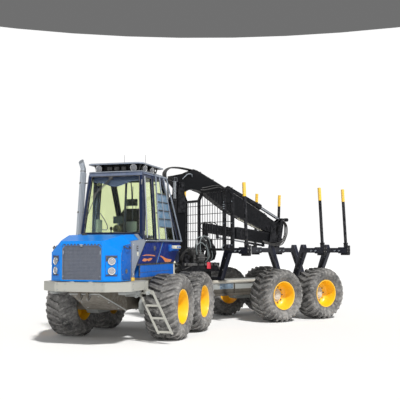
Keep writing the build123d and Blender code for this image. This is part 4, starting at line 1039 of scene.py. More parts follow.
# roof: work lamps under the visor, brackets, edge trim and two whip aerials
roofSpots = [((2.795, y, 3.512), (1, 0, -0.12)) for y in (-0.405, 0.385)]
for x in (2.55, 2.15):
    for hand in (1, -1):
        roofSpots.append(((x, hand * 0.535, 3.512), (0.25, hand, -0.15)))
for y in (-0.38, 0.38):
    roofSpots.append(((1.745, y, 3.512), (-1, 0, -0.12)))
drawLamps("roof_lamp", roofSpots, "front_frame", True, ("roof_lamps",), radius=0.066, housing=0.06)
roofTrim, whips = newMeshes(2)
for spot, way in roofSpots:
    out = Vector(way).normalized()
    foot = Vector(spot) - out * 0.035
    addBlock(
        roofTrim, (foot.x - 0.014, foot.x + 0.014), (foot.y - 0.014, foot.y + 0.014), (3.545, 3.588), 0.003,
    )
for y in (-0.16, 0, 0.16):
    addBlock(roofTrim, (2.72, 2.8), (y - 0.05, y + 0.05), (3.47, 3.545), 0.008)
for hand in (1, -1):
    for x in (1.8, 2.4, 2.74):
        addRod(roofTrim, (x, hand * 0.47, 3.425), (x, hand * 0.52, 3.588), 0.014, 12)
    for x in (1.72, 2.2, 2.8):
        addBolt(roofTrim, (x, hand * 0.55, 3.6155), (0, 0, 1), 0.009)
visorLine = ((1.66, -0.6), (2.84, -0.6), (2.9, -0.51), (2.9, 0.51), (2.84, 0.6), (1.66, 0.6), (1.66, -0.6))
visorRim = bmesh.new()
addTube(visorRim, [(x, y, 3.6) for x, y in visorLine], 0.017, False, 3)
for x, y, top in ((2.02, -0.16, 3.895), (1.98, 0.32, 3.885)):
    addRod(whips, (x, y, 3.612), (x, y, 3.65), 0.018, 16, 0.012)
    addRod(whips, (x, y, 3.65), (x, y, top), 0.0045, 8, 0.003)
finishRows("front_frame", True,
    (roofTrim, "roof_brackets", "darkPlastic"),
    (visorRim, "visor_edge", "panelSilver"),
    (whips, "aerials", "darkPlastic"),
)

# window guard: blue-grey screen with black cross bars over the left rear window, clamps on the tubes
guardSheet, guardBars, clamps = newMeshes(3)
for k in range(15):
    share = k / 14
    foot, head = (1.34 + 0.78 * share, 2.3), (1.66 + 0.5 * share, 3.02)
    addRod(
        guardSheet, (foot[0], sideAt(foot[1], 0.03), foot[1]), (head[0], sideAt(head[1], 0.03), head[1]), 0.01,
        8,
    )
for k in range(5):
    z = 2.3 + 0.18 * k
    share = k / 4
    addRod(
        guardBars, (1.32 + 0.34 * share, sideAt(z, 0.046), z), (2.14 + 0.04 * share, sideAt(z, 0.046), z),
        0.011, 8,
    )
for x, z in ((2.225, 2.6), (2.225, 3.2), (1.39, 2.4), (1.66, 3.05), (1.1, 2.6)):
    addRod(clamps, (x, sideAt(z, -0.002), z), (x, sideAt(z, 0.05), z), 0.011, 10)
finishRows("front_frame", True,
    (guardSheet, "guard_screen", "guardBlue"),
    (guardBars, "guard_bars", "darkPlastic"),
    (clamps, "guard_clamps", "darkPlastic"),
)

# door: handle, lock and hinges; the lamp box with its bracket and the filler post behind it
handle, lampBox, postCap, feet = newMeshes(4)
addBlock(handle, (2.435, 2.5), (0.7265, 0.73), (1.8, 1.9), 0.004)
addTube(handle, [(2.45, 0.728, 1.885), (2.45, 0.752, 1.88), (2.45, 0.752, 1.82), (2.45, 0.728, 1.815)], 0.007)
for z in (2.15, 3.2):
    addRod(handle, (2.945, sideAt(z, 0.004), z - 0.05), (2.945 - 0.012, sideAt(z, 0.004), z + 0.05), 0.014, 14)
finishPiece(handle, "door_handle", "castIron", "door", True)
addBlock(lampBox, (1.12, 1.52), (0.745, 0.85), (1.838, 1.912), 0.016)
addBlock(feet, (1.14, 1.6), (0.7215, 0.8), (1.796, 1.836), 0.01)
addBlock(feet, (1.52, 1.62), (0.7215, 0.775), (1.78, 1.93), 0.012)
for x in (1.16, 1.3):
    addBlock(feet, (x, x + 0.09), (0.848, 0.853), (1.855, 1.895), 0.003)
filler = (1.16, 0.66)
for low, high, radius, around, far in (
    (1.268, 1.525, 0.05, 24, 0.046), (1.52, 1.562, 0.075, 28, 0.06),
    (1.56, 1.574, 0.052, 24, 0.03), (1.268, 1.29, 0.072, 24, None),
):
    addRod(postCap, (*filler, low), (*filler, high), radius, around, far)
# the lamp bracket takes the darker hood blue: painted shade under the lamp box
finishRows("front_frame", True,
    (lampBox, "side_lamp_box", "creamPaint"),
    (feet, "side_lamp_bracket", "shadedHoodBlue", "cab_blue"),
    (postCap, "filler_post", "creamPaint"),
)

# exhaust: clamps and stays, with a shield of bars on its outer side
stack = {"foot": (2.93, -0.8, 1.9), "neck": (2.78, -0.775, 3.53)}
clampBm, shield = newMeshes(2)
run = Vector(stack["neck"]) - Vector(stack["foot"])
for share in (0.06, 0.42, 0.8):
    spot = Vector(stack["foot"]) + run * share
    addRing(clampBm, spot, run, 0.0575, 0.066, 0.03)
    addRod(
        clampBm, spot + Vector((0, 0.05, 0.015)), (spot.x, -sideAt(spot.z, -0.01), spot.z + 0.015), 0.012, 10,
    )
for share in (0, 1):
    spot = Vector(stack["foot"]) + run * (0.03 + 0.93 * share)
    addRing(clampBm, spot, run, 0.0575, 0.062, 0.018)
for k in range(7):
    turn = math.radians(15 + 25 * k)
    side = Vector((math.cos(turn) * -0.0615, math.sin(turn) * 0.0615, 0))
    addRod(
        shield, Vector(stack["foot"]) + run * 0.02 + side, Vector(stack["foot"]) + run * 0.94 + side, 0.012, 8,
    )
finishRows("front_frame", True,
    (clampBm, "exhaust_clamps", "castIron"),
    (shield, "exhaust_shield", "steelTube", "trim_plastic"),
)
print("forwarder: cab fitted outside")

# load space: stake tops, sleeves and hooks, then the gate's wires and bolts
stake = {
    "foot": 1.365, "top": 1.27, "low": 1.88, "high": 3.45, "radius": 0.0445, "yellow": 3.115,
    "x": (-1.52, -4.12, -5.02),
}


def stakeY(z):
    return stake["foot"] + (stake["top"] - stake["foot"]) * (z - stake["low"]) / (stake["high"] - stake["low"])


tops, sleeves, hooks, stakeBolts = newMeshes(4)
for x in stake["x"]:
    for hand in (1, -1):
        yellow, rim, tip, low, high, ringAt = (
            (x, hand * stakeY(z), z) for z in (stake["yellow"], 3.452, 3.458, 1.865, 1.985, 1.975)
        )
        addRod(tops, yellow, rim, stake["radius"], 28)
        addRod(tops, rim, tip, stake["radius"], 28, stake["radius"] - 0.008)
        addRod(sleeves, low, high, 0.058, 24)
        addRing(sleeves, ringAt, (0, -hand * 0.06, 1), 0.046, 0.066, 0.022)
        addBlock(sleeves, (x - 0.07, x + 0.07), (hand * 1.235, hand * 1.446), (1.664, 1.712), 0.008)
        addBlock(sleeves, (x - 0.062, x + 0.062), (hand * 1.44, hand * 1.466), (1.69, 1.925), 0.008)
        for dz in (1.76, 1.85):
            for dx in (-0.038, 0.038):
                addBolt(stakeBolts, (x + dx, hand * 1.4665, dz), (0, hand, 0), 0.01)
        for y in (1.02, 1.18):
            hook = (
                (0.06, -0.022, 1.8), (0.084, -0.022, 1.785), (0.088, 0, 1.765), (0.084, 0.022, 1.785),
                (0.06, 0.022, 1.8),
            )
            addTube(hooks, [(x + a, hand * (y + b), c) for a, b, c in hook], 0.007)
        for y, z in ((0.5, 1.31), (0.62, 1.6)):
            for way in (1, -1):
                addBolt(stakeBolts, (x + way * 0.0605, hand * y, z), (way, 0, 0), 0.012)
        addPlate(
            sleeves,
            [(x + 0.061, hand * y, z) for y, z in ((0.42, 1.14), (0.3, 1.14), (0.655, 1.735), (0.715, 1.735))],
            (0.004, 0, 0), 0.0015,
        )
        addBlock(sleeves, (x - 0.075, x + 0.075), (hand * 0.28, hand * 0.42), (1.0405, 1.062), 0.005)
finishRows("rear_frame", False,
    (tops, "stake_tops", "stakeYellow"),
    (sleeves, "stake_sleeves", "craneBlack"),
    (hooks, "load_hooks", "steelTube"),
    (stakeBolts, "bunk_bolts", "castIron"),
)

gate = {
    "x": -1.08, "front": -1.052, "low": 1.85, "top": 3.295, "post": (1.07, -1.07, 0.01, -0.57), "pitch": 0.104,
    "wire": 0.008,
}


def gateTop(y):
    away = abs(y + 0.28)
    if away < 0.415:
        return gate["top"] - 0.215 + 0.215 * max(0, away - 0.26) / 0.155 - 0.055
    return gate["top"] - 0.055 - (max(0, abs(y) - 1.18) / 0.17) ** 2 * 0.15


wires, gateBolts = newMeshes(2)
for step in range(-13, 13):
    y = (step + 0.5) * gate["pitch"]
    if min(abs(y - post) for post in gate["post"]) > 0.036:
        addRod(wires, (gate["x"], y, gate["low"] - 0.01), (gate["x"], y, gateTop(y)), gate["wire"], 8)
for k in range(5):
    z = 2.065 + 0.215 * k
    addRod(wires, (gate["x"] - 0.032, -1.375, z), (gate["x"] - 0.032, 1.375, z), gate["wire"], 8)
for y in (1.07, -1.07, 1.38, -1.38):
    for z in (1.93, 2.45, 2.97):
        addBolt(gateBolts, (-1.051, y, z), (1, 0, 0), 0.01)
for hand in (1, -1):
    for z in (2.86, 2.91, 2.81):
        addBlock(gateBolts, (gate["front"], -1.04), (hand * 1.045, hand * 1.095), (z - 0.01, z + 0.01), 0.002)
    loop = ((gate["front"], 1.83), (-1.005, 1.835), (-1.005, 1.895), (gate["front"], 1.9))
    addTube(gateBolts, [(x, hand * 1.05, z) for x, z in loop], 0.01)
finishRows("rear_frame", False,
    (wires, "gate_wires", "craneBlack", None, ("headboard_mesh",)),
    (gateBolts, "gate_fittings", "steelTube", "bare_cast"),
)
print("forwarder: load space fitted")

# crane: pins at its joints, and the rings and rod of the folding cylinder
crane = {
    "pin": (-0.45, 3.42), "tip": (-3.52, 2.42), "knuckle": (-3.76, 2.075), "eye": (-3.88, 2.62), "half": 0.105,
}
pins, colPins, cylinderRings, bright = newMeshes(4)
for hand in (1, -1):
    x, z = crane["pin"]
    addRod(colPins, (x, hand * 0.1432, z), (x, hand * 0.162, z), 0.062, 28, 0.056)
    addRod(colPins, (x, hand * 0.16, z), (x, hand * 0.172, z), 0.03, 6)
    addBlock(colPins, (x - 0.075, x - 0.045), (hand * 0.1432, hand * 0.156), (z - 0.09, z - 0.03), 0.004)
    for (x, z), out, radius in (
        (crane["tip"], 0.1352, 0.058), (crane["eye"], 0.0452, 0.046), (crane["knuckle"], 0.0802, 0.06),
        ((-3.66, 2.16), 0.0802, 0.034), ((-3.3, 2.4), 0.1052, 0.04), ((-1.99, 3.425), 0.0745, 0.04),
    ):
        addRod(pins, (x, hand * (out - 0.003), z), (x, hand * (out + 0.016), z), radius, 24, radius * 0.9)
        addRod(pins, (x, hand * (out + 0.014), z), (x, hand * (out + 0.024), z), radius * 0.45, 6)
eyeX, eyeZ = crane["eye"]
addRod(pins, (eyeX - 0.045, -0.095, eyeZ + 0.005), (eyeX - 0.045, 0.095, eyeZ + 0.005), 0.052, 24)
addRod(pins, (eyeX - 0.03, 0, eyeZ), (eyeX - 0.21, 0, eyeZ + 0.02), 0.04, 20)
addRod(pins, (eyeX - 0.205, -0.06, eyeZ + 0.02), (eyeX - 0.205, 0.06, eyeZ + 0.02), 0.05, 24)
finishPiece(pins, "boom_pins", "craneBlack", "boom")
finishPiece(colPins, "column_pins", "craneBlack", "rear_frame")

foldFoot, foldGland = Vector((-1.99, 0, 3.425)), Vector((-3.13, 0, 2.962))
foldEye = Vector((eyeX, 0, eyeZ))
foldWay = (foldGland - foldFoot).normalized()
addRing(cylinderRings, foldGland - foldWay * 0.075, foldWay, 0.07, 0.086, 0.075)
addRing(cylinderRings, foldFoot + foldWay * 0.05, foldWay, 0.07, 0.082, 0.03)
addRing(cylinderRings, foldGland, foldWay, 0.036, 0.06, 0.012)
for share in (0.1, 0.86):
    spot = foldFoot + (foldGland - foldFoot) * share
    addRod(cylinderRings, spot + Vector((0, 0.06, 0.03)), spot + Vector((0.02, 0.1, 0.055)), 0.02, 14)
addRod(bright, foldGland + foldWay * 0.012, foldEye - (foldEye - foldGland).normalized() * 0.075, 0.0408, 24)
finishRows("boom", False,
    (cylinderRings, "fold_cylinder_rings", "craneBlack"),
    (bright, "fold_rod", "rodChrome"),
)

# lift cylinders: black eyes, glands and the ports on their barrels
lift = {"x": -0.235, "y": 0.158, "eye": 3.54}
eyes, glands = newMeshes(2)
for hand in (1, -1):
    addBlock(eyes, (-0.287, -0.183), (hand * 0.1145, hand * 0.2015), (3.488, 3.592), 0.012)
    addRod(
        eyes, (lift["x"], hand * 0.108, lift["eye"]), (lift["x"], hand * 0.212, lift["eye"]), 0.036, 24, 0.03,
    )
    sizes = [(3.02, 0.044, 0.053, 0.045), (3.058, 0.0325, 0.046, 0.012), (1.7, 0.044, 0.052, 0.04)]
    for z, *size in sizes:
        addRing(glands, (lift["x"], hand * lift["y"], z), (0, 0, 1), *size)
    pipe = ((-0.19, 2.98), (-0.176, 2.96), (-0.176, 2.2), (-0.176, 1.86), (-0.19, 1.84))
    addTube(glands, [(x, hand * lift["y"], z) for x, z in pipe], 0.009, True, 2)
    for z in (2.85, 2.4, 1.95):
        addRing(glands, (lift["x"], hand * lift["y"], z), (0, 0, 1), 0.0445, 0.048, 0.018)
finishPiece(eyes, "lift_rod_eyes", "craneBlack", "lift_rod")
finishPiece(glands, "lift_glands", "craneBlack", "lift_barrel")

# boom: weld beads along its edges, pipes along its top in clamps, and the pale pipe under it
beads, pipes, clamps, pale = newMeshes(4)
topLine = [(-0.65, 3.741), (-0.84, 3.822), (-0.96, 3.796), (-1.673, 3.488), (-2.451, 3.132), (-3.3, 2.719)]
underLine = [(-0.93, 3.325), (-1.12, 3.275), (-1.25, 3.215), (-1.972, 2.8), (-2.476, 2.604), (-3.18, 2.342)]
for hand in (1, -1):
    for line in (topLine, underLine):
        addTube(beads, [(x, hand * crane["half"], z) for x, z in line], 0.006, False, 1)
    addTube(beads, [(x, hand * 0.08, z) for x, z in ((-3.55, 2.263), (-2.27, 2.408))], 0.005, False, 1)
for k in range(3):
    addTube(pipes, [(x, 0.092 - 0.019 * k, z + 0.02) for x, z in topLine[1:]], 0.0085, False, 2)
for x, z, slope in (
    (-1.05, 3.757, 0.432), (-1.45, 3.584, 0.432), (-1.9, 3.384, 0.457),
    (-2.4, 3.155, 0.457), (-2.85, 2.938, 0.486), (-3.2, 2.768, 0.486),
):
    made = bmesh.new()
    addBlock(made, (-0.022, 0.022), (0.036, 0.112), (0, 0.034), 0.005)
    for y in (0.045, 0.103):
        addBolt(made, (0, y, 0.034), (0, 0, 1), 0.006)
    turn = Matrix.Translation((x, 0, z)) @ Matrix.Rotation(-math.atan(slope), 4, "Y")
    bmesh.ops.transform(made, matrix=turn, verts=made.verts)
    joinInto(clamps, made)
addTube(pale, [(-2.3, 0.045, 2.64), (-2.48, 0.045, 2.575), (-3.16, 0.045, 2.322)], 0.014, False, 2)
for x, z in ((-2.36, 2.64), (-2.8, 2.48), (-3.1, 2.37)):
    addBlock(pale, (x - 0.012, x + 0.012), (0.03, 0.06), (z - 0.065, z + 0.02), 0.003)
finishRows("boom", False,
    (beads, "boom_weld_beads", "craneBlack"),
    (pipes, "boom_pipes", "castIron", "bare_tube"),
    (clamps, "boom_pipe_clamps", "darkPlastic"),
    (pale, "boom_under_pipe", "creamPaint", "bare_tube"),
)

# stick: the extension cylinder under it, its slide pads and nose plate
slide, slideRod, nose = newMeshes(3)
barrelEnd, rodEnd = Vector((-3.2, 0.045, 1.926)), Vector((-1.64, 0.045, 2.128))
gland = barrelEnd + (rodEnd - barrelEnd) * 0.38
addRod(slide, barrelEnd, gland, 0.03, 24)
addRing(slide, gland, rodEnd - barrelEnd, 0.02, 0.036, 0.035)
addRod(slideRod, gland, rodEnd, 0.019, 20)
for spot in (barrelEnd, rodEnd):
    addBlock(slide, (spot.x - 0.03, spot.x + 0.03), (0.015, 0.075), (spot.z - 0.035, spot.z + 0.105), 0.006)
    addRod(slide, (spot.x, 0.005, spot.z), (spot.x, 0.088, spot.z), 0.02, 16)
for hand in (1, -1):
    for x in (-2.262, -2.4):
        z = 2.374 + (x + 1.24) * 0.1187
        addBlock(slide, (x - 0.03, x + 0.03), (hand * 0.06, hand * 0.088), (z - 0.11, z + 0.13), 0.004)
        for dz in (-0.07, 0.09):
            addBolt(slide, (x, hand * 0.0885, z + dz), (0, hand, 0), 0.01)
addBlock(nose, (-1.262, -1.236), (-0.068, 0.068), (2.265, 2.48), 0.006)
for hand in (1, -1):
    addRod(nose, (-1.29, hand * 0.0802, 2.2), (-1.29, hand * 0.096, 2.2), 0.03, 20)
    for z in (2.31, 2.43):
        addBolt(nose, (-1.2355, hand * 0.045, z), (1, 0, 0), 0.009)
finishRows("boom", False,
    (slide, "extension_cylinder", "craneBlack"),
    (slideRod, "extension_rod", "rodChrome"),
    (nose, "stick_nose", "craneBlack"),
)

# grapple: pins at the jaws' roots, ribs along the tines and the rotator's flange
jawPins, motor = newMeshes(2)
grapple = {"x": -1.29, "pinY": 0.075, "pinZ": 1.985}
for hand in (1, -1):
    for end in (1, -1):
        for near, far, radius, around in ((0.1365, 0.152, 0.028, 20), (0.15, 0.158, 0.013, 6)):
            start, stop = ((
                grapple["x"] + end * out, hand * grapple["pinY"], grapple["pinZ"],
            ) for out in (near, far))
            addRod(jawPins, start, stop, radius, around)
    addRod(motor, (grapple["x"] + hand * 0.055, 0, 2.115), (grapple["x"] + hand * 0.092, 0, 2.115), 0.016, 14)
addRing(motor, (grapple["x"], 0, 2.094), (0, 0, 1), 0.06, 0.098, 0.016)
for x, y in circlePoints(10, 0.079):
    addBolt(motor, (grapple["x"] + x, y, 2.11), (0, 0, 1), 0.006)
finishRows("rotator", False,
    (jawPins, "jaw_pins", "castIron"),
    (motor, "rotator_flange", "castIron"),
)
for side, hand in sides:
    edges = bmesh.new()
    for x in (-1.408, -1.33, -1.25, -1.172):
        rib = [(hand * y, z) for y, z in (
            (0.012, 1.512), (0.222, 1.572), (0.292, 1.715), (0.252, 1.884), (0.258, 1.884), (0.299, 1.716),
            (0.228, 1.566), (0.014, 1.505),
        )]
        addPlate(edges, [(x - 0.008, y, z) for y, z in rib], (0.016, 0, 0), 0.002)
    finishPiece(edges, f"jaw_ribs_{side}", "craneBlack", f"jaw_{side}")
print("forwarder: crane fitted")

# crane's foot: pipes along the slewing gear, red plate, bolts, levers and the valve banks
slew = {"x": -0.45, "deck": 1.49}
foot, footPipes, levers, plate = newMeshes(4)
for z in (1.468, 1.44):
    line = (
        (-0.34, -0.05, 0), (-0.36, 0.012, 0), (-0.6, 0.012, 0), (-1.28, 0.012, 0), (-1.38, 0.01, 0.02),
        (-1.42, 0.004, 0.12),
    )
    addTube(footPipes, [(x, 0.404 + out, z - drop) for x, out, drop in line], 0.011, True, 2)
for x in (-0.42, -0.75, -0.95, -1.22):
    addBlock(foot, (x - 0.014, x + 0.014), (0.4, 0.432), (1.425, 1.482), 0.003)
for x in (-0.36, -0.6, -0.84, -1.08, -1.32):
    for hand in (1, -1):
        addBolt(foot, (x, hand * 0.36, 1.4905), (0, 0, 1), 0.014)
addBlock(foot, (-0.31, -1.42), (-0.404, 0.404), (1.276, 1.3), 0.005)
addRing(foot, (slew["x"], 0, slew["deck"]), (0, 0, 1), 0.165, 0.235, 0.06, 40)
for x, y in circlePoints(16, 0.205):
    addBolt(foot, (slew["x"] + x, y, 1.546), (0, 0, 1), 0.011)
addBlock(plate, (-1.135, -1.015), (0.4325, 0.4375), (1.345, 1.505), 0.0015)
addBlock(foot, (-1.1, -1.05), (0.399, 0.433), (1.36, 1.4), 0.002)
for k in range(5):
    z = 1.595 + 0.036 * k
    addBlock(levers, (-0.955, -0.645), (0.3805, 0.396), (z - 0.013, z + 0.013), 0.003)
for k in range(7):
    x = -0.925 + 0.042 * k
    addRod(levers, (x, 0.3, 1.758), (x, 0.3, 1.8), 0.014, 14)
    addRod(levers, (x, 0.3, 1.8), (x, 0.3, 1.812), 0.019, 6)
    addRod(levers, (x, 0.18, 1.758), (x - 0.004, 0.165, 1.87), 0.005, 8)
    addBall(levers, (x - 0.004, 0.164, 1.874), 0.012, 12, 8)
    addRod(levers, (x, 0.5195, 1.62), (x, 0.54, 1.62), 0.013, 6)
for x, y in ((-0.5, 0.27), (-0.56, -0.27)):
    addRod(foot, (x, y, 1.488), (x, y, 1.7), 0.082, 32)
    addRod(foot, (x, y, 1.7), (x, y, 1.745), 0.066, 28, 0.05)
    addRing(foot, (x, y, slew["deck"]), (0, 0, 1), 0.08, 0.108, 0.022, 32)
    addBlock(foot, (x - 0.04, x + 0.04), (y + 0.06, y + 0.115), (1.6, 1.68), 0.008)
finishRows("rear_frame", False,
    (foot, "slew_fittings", "craneBlack"),
    (footPipes, "slew_pipes", "castIron", "bare_tube"),
    (levers, "valve_banks", "castIron"),
    (plate, "red_plate", "redPlate"),
)

# hoses: over the boom's root, at the knuckle, on the boom's side and from the valves
for k in range(5):
    y = -0.072 + 0.036 * k
    lift = 0.006 * (k % 2)
    hangHose(f"root_hose_{k}", [
        (-0.88, y, 3.818 + lift), (-0.7, y, 3.842 + lift), (-0.43, y, 3.862 + lift), (-0.18, y, 3.838 + lift),
        (-0.05, y, 3.745 + lift), (-0.03, y, 3.63), (-0.07, y, 3.54), (-0.19, y * 0.9, 3.52),
    ], 0.014, "boom")
for k in range(3):
    y = 0.1 + 0.034 * k
    drop = 0.03 * k
    hangHose(f"knuckle_hose_{k}", [
        (-3.15, 0.08, 2.06 - drop * 0.3), (-3.3, y, 2.018 - drop), (-3.56, y, 1.985 - drop),
        (-3.8, y, 2.03 - drop), (-3.925 - drop * 0.5, y, 2.2), (-3.95 - drop * 0.5, y, 2.4), (-3.93, y, 2.53),
        (-3.885, 0.06 + 0.01 * k, 2.64),
    ], 0.015, "boom")
hangHose("side_hose_0", [
    (-1.06, 0.104, 3.33), (-1.18, 0.14, 3.335), (-1.42, 0.15, 3.388), (-1.62, 0.15, 3.425),
    (-1.735, 0.15, 3.37), (-1.775, 0.145, 3.25), (-1.77, 0.104, 3.15),
], 0.014, "boom")
hangHose("side_hose_1", [
    (-1.1, 0.104, 3.38), (-1.2, 0.134, 3.4), (-1.42, 0.134, 3.45), (-1.64, 0.134, 3.47), (-1.8, 0.134, 3.4),
    (-1.84, 0.128, 3.26), (-1.835, 0.104, 3.18),
], 0.012, "boom")
hangHose("port_hose", [
    (-0.5, 0.104, 3.575), (-0.54, 0.14, 3.63), (-0.61, 0.15, 3.69), (-0.69, 0.15, 3.715), (-0.76, 0.145, 3.69),
    (-0.79, 0.104, 3.64),
], 0.012, "boom", coat="steelTube")
for k, (x, high) in enumerate(((-0.7, 2.13), (-0.745, 2.06), (-0.79, 2.15), (-0.66, 1.99))):
    y = 0.455 + 0.022 * k
    hangHose(f"valve_hose_{k}", [
        (x, y - 0.02, 1.7), (x + 0.03, y, 1.86), (x + 0.01, y, high - 0.06), (x - 0.11, y + 0.006, high),
        (x - 0.235, y + 0.006, high - 0.08), (x - 0.3, y, 1.86), (x - 0.34 - 0.01 * k, y - 0.02, 1.64),
        (x - 0.33, 0.385, 1.5),
    ], 0.013, "rear_frame", coat="hoseRubber" if k == 1 else "hoseGrey")
for k in range(4):
    y = -0.06 + 0.04 * k
    hangHose(f"column_hose_{k}", [
        (-0.318, y, 3.05), (-0.27, y, 2.96), (-0.262, y, 2.7), (-0.27, y, 2.3), (-0.262, y, 1.98),
        (-0.275, y, 1.84), (-0.318, y, 1.76),
    ], 0.012, "rear_frame")
for k in range(3):
    y = 0.3 + 0.04 * k
    hangHose(f"motor_hose_{k}", [
        (-0.638, y - 0.02, 1.6 + 0.03 * k), (-0.56, y + 0.03, 1.7 + 0.04 * k),
        (-0.47, y + 0.05, 1.79 + 0.03 * k), (-0.385, y + 0.01, 1.74 + 0.02 * k), (-0.35, y - 0.06, 1.6),
        (-0.37, y - 0.09, 1.5),
    ], 0.014, "rear_frame")
for k in range(4):
    y = 0.31 - 0.085 * k
    hangHose(
        f"bulkhead_hose_{k}",
        [
            (-0.292, y, 1.44), (-0.215, y + 0.01, 1.47), (-0.165, y + 0.02, 1.6), (-0.19, y + 0.02, 1.74),
            (-0.265, y + 0.01, 1.77), (-0.318, y * 0.35, 1.7),
        ],
        0.015, "rear_frame", coat="hoseGrey" if k == 1 else "hoseRubber",
    )
hangHose("base_hose_0", [
    (-0.56, 0.402, 1.4), (-0.52, 0.47, 1.42), (-0.43, 0.5, 1.4), (-0.33, 0.47, 1.35), (-0.3, 0.402, 1.33),
], 0.014, "rear_frame")
for k in range(2):
    side = 1 if k else -1
    hangHose(f"nose_hose_{k}", [
        (-1.62, side * 0.058, 2.45), (-1.52, side * 0.098, 2.5), (-1.36, side * 0.112, 2.52),
        (-1.235, side * 0.108, 2.48), (-1.2, side * 0.09, 2.39), (-1.234, side * 0.06, 2.33),
    ], 0.011, "boom")
print("forwarder: hoses hung")

# rear frame: pale top rails, brown bottom flange, blank side plates, tail lights and the end hitch
rails, flange, patches, tail = newMeshes(4)
for hand in (1, -1):
    addRod(rails, (-0.215, hand * 0.3, 1), (-5.124, hand * 0.3, 1), 0.0425, 28)
    for span in ((-5.124, -3.64), (-3.32, -0.205)):
        addBlock(flange, span, (hand * 0.302, hand * 0.3435), (0.6465, 0.705), 0.006)
    low, high = 0.818, 0.95
    for near, far in ((-1.02, -1.26), (-1.52, -1.95), (-3.8, -4.6)):
        addBlock(patches, (near, far), (hand * 0.2995, hand * 0.3045), (low, high), 0.004)
        for x in (near - 0.04, far + 0.04):
            for z in (low + 0.03, high - 0.03):
                addBolt(flange, (x, hand * 0.3045, z), (0, hand, 0), 0.008)
    for span in ((-3.64, -5.12), (-0.206, -3.32)):
        addBlock(flange, span, (hand * 0.2985, hand * 0.303), (0.7, 0.812), 0.002)
    for x in (-0.5, -1.1, -1.98, -2.75, -4.75):
        addBlock(flange, (x - 0.01, x + 0.01), (hand * 0.299, hand * 0.335), (0.7, 0.955), 0.003)
addBlock(tail, (-5.142, -5.119), (-0.2, 0.2), (0.72, 0.96), 0.006)
addRing(tail, (-5.14, 0, 0.84), (-1, 0, 0), 0.045, 0.085, 0.03)
for hand in (1, -1):
    for y, z in ((0.15, 0.76), (0.15, 0.92)):
        addBolt(tail, (-5.142, hand * y, z), (-1, 0, 0), 0.014)
    addBlock(tail, (-5.15, -5.121), (hand * 0.225, hand * 0.33), (0.86, 0.96), 0.006)
finishRows("rear_frame", False,
    (rails, "rear_frame_rails", "railBeige"),
    (flange, "rear_frame_flanges", "flangeBrown"),
    (patches, "rear_frame_plates", "plateBlueGrey"),
    (tail, "rear_hitch", "craneBlack"),
)
lampSpots = [((-5.1505, hand * 0.2775, 0.91), (-1, 0, 0)) for hand in (1, -1)]
drawLamps("tail_lamp", lampSpots, "rear_frame", False, radius=0.034)
print("forwarder: rear frame fitted")

# belly: trapezoid plate with a lip, side beams, tow shackles and the bolts of the bumper
belly = {"rear": 3.2, "end": 4.31, "halfRear": 0.44, "halfEnd": 0.29, "lowRear": 0.62, "lowEnd": 1.05}


def bellyAt(share, out=0.004):
    x = belly["rear"] + (belly["end"] - belly["rear"]) * share
    half = belly["halfRear"] + (belly["halfEnd"] - belly["halfRear"]) * share
    return x, half, belly["lowRear"] + (belly["lowEnd"] - belly["lowRear"]) * share - out


plateBm, lip, shackles, bolts = newMeshes(4)
x0, half0, z0 = bellyAt(0.1)
x1, half1, z1 = bellyAt(0.86)
addPlate(plateBm, [
    (x0, -half0 + 0.05, z0), (x0, half0 - 0.05, z0), (x1, half1 - 0.03, z1), (x1, -half1 + 0.03, z1),
], (0.003, 0, -0.008), 0.002)
for share in (0.16, 0.48, 0.8):
    x, half, z = bellyAt(share, 0.012)
    for hand in (1, -1):
        addBolt(bolts, (x, hand * (half - 0.085), z), (0.36, 0, -0.93), 0.013)
x, half, z = bellyAt(0.9, 0.01)
addRod(lip, (x, -half - 0.01, z), (x, half + 0.01, z), 0.014, 14)
for hand in (1, -1):
    addTube(
        lip, [(belly["rear"] + 0.02, hand * (belly["halfRear"] - 0.004), 0.622), (x, hand * half, z)], 0.012,
        False, 2,
    )
    addBlock(lip, (3.262, 4.095), (hand * 0.64, hand * 0.78), (0.985, 1.048), 0.012)
    addBlock(lip, (3.262, 3.3), (hand * 0.43, hand * 0.78), (0.9, 1.048), 0.008)
    addRod(shackles, (4.2, hand * 0.045, 0.96), (4.2, hand * 0.115, 0.96), 0.0235, 18)
    addRod(shackles, (4.2, hand * 0.1005, 0.96), (4.2, hand * 0.125, 0.96), 0.034, 6)
    ring = [(
        4.2 + 0.055 * math.sin(t), hand * 0.08, 0.925 - 0.045 * math.cos(t),
    ) for t in (-2.2, -1.5, -0.8, 0, 0.8, 1.5, 2.2)]
    addTube(shackles, smoothPath([Vector(p) for p in ring], 3), 0.011, False, 2)
    for y in (0.46, 0.3):
        for z in (1.085, 1.19):
            addBolt(bolts, (4.4005, hand * y, z), (1, 0, 0), 0.01)
    for x in (4, 3.45):
        for z in (1.085, 1.19):
            addBolt(bolts, (x, hand * 0.9055, z), (0, hand, 0), 0.01)
finishRows("front_frame", True,
    (plateBm, "belly_plate", "bellyBrown"),
    (lip, "belly_lip", "chassisGrey"),
    (shackles, "tow_shackles", "castIron"),
    (bolts, "bumper_bolts", "chassisGrey", "bare_cast"),
)

# bumper: raised weld seams at its two creases and rounded edges along the top and bottom
seams = bmesh.new()
for hand in (1, -1):
    for x, y in ((4.4, 0.51), (4.1, 0.905)):
        addRod(seams, (x, hand * y, 1.052), (x, hand * y, 1.22), 0.005, 8)
for z in (1.052, 1.22):
    line = ((3.255, -0.905), (4.1, -0.905), (4.4, -0.51), (4.4, 0.51), (4.1, 0.905), (3.255, 0.905))
    addTube(seams, [(x, y, z) for x, y in line], 0.0045, False, 1)
finishPiece(seams, "bumper_edges", "bumperGrey", "front_frame", True)

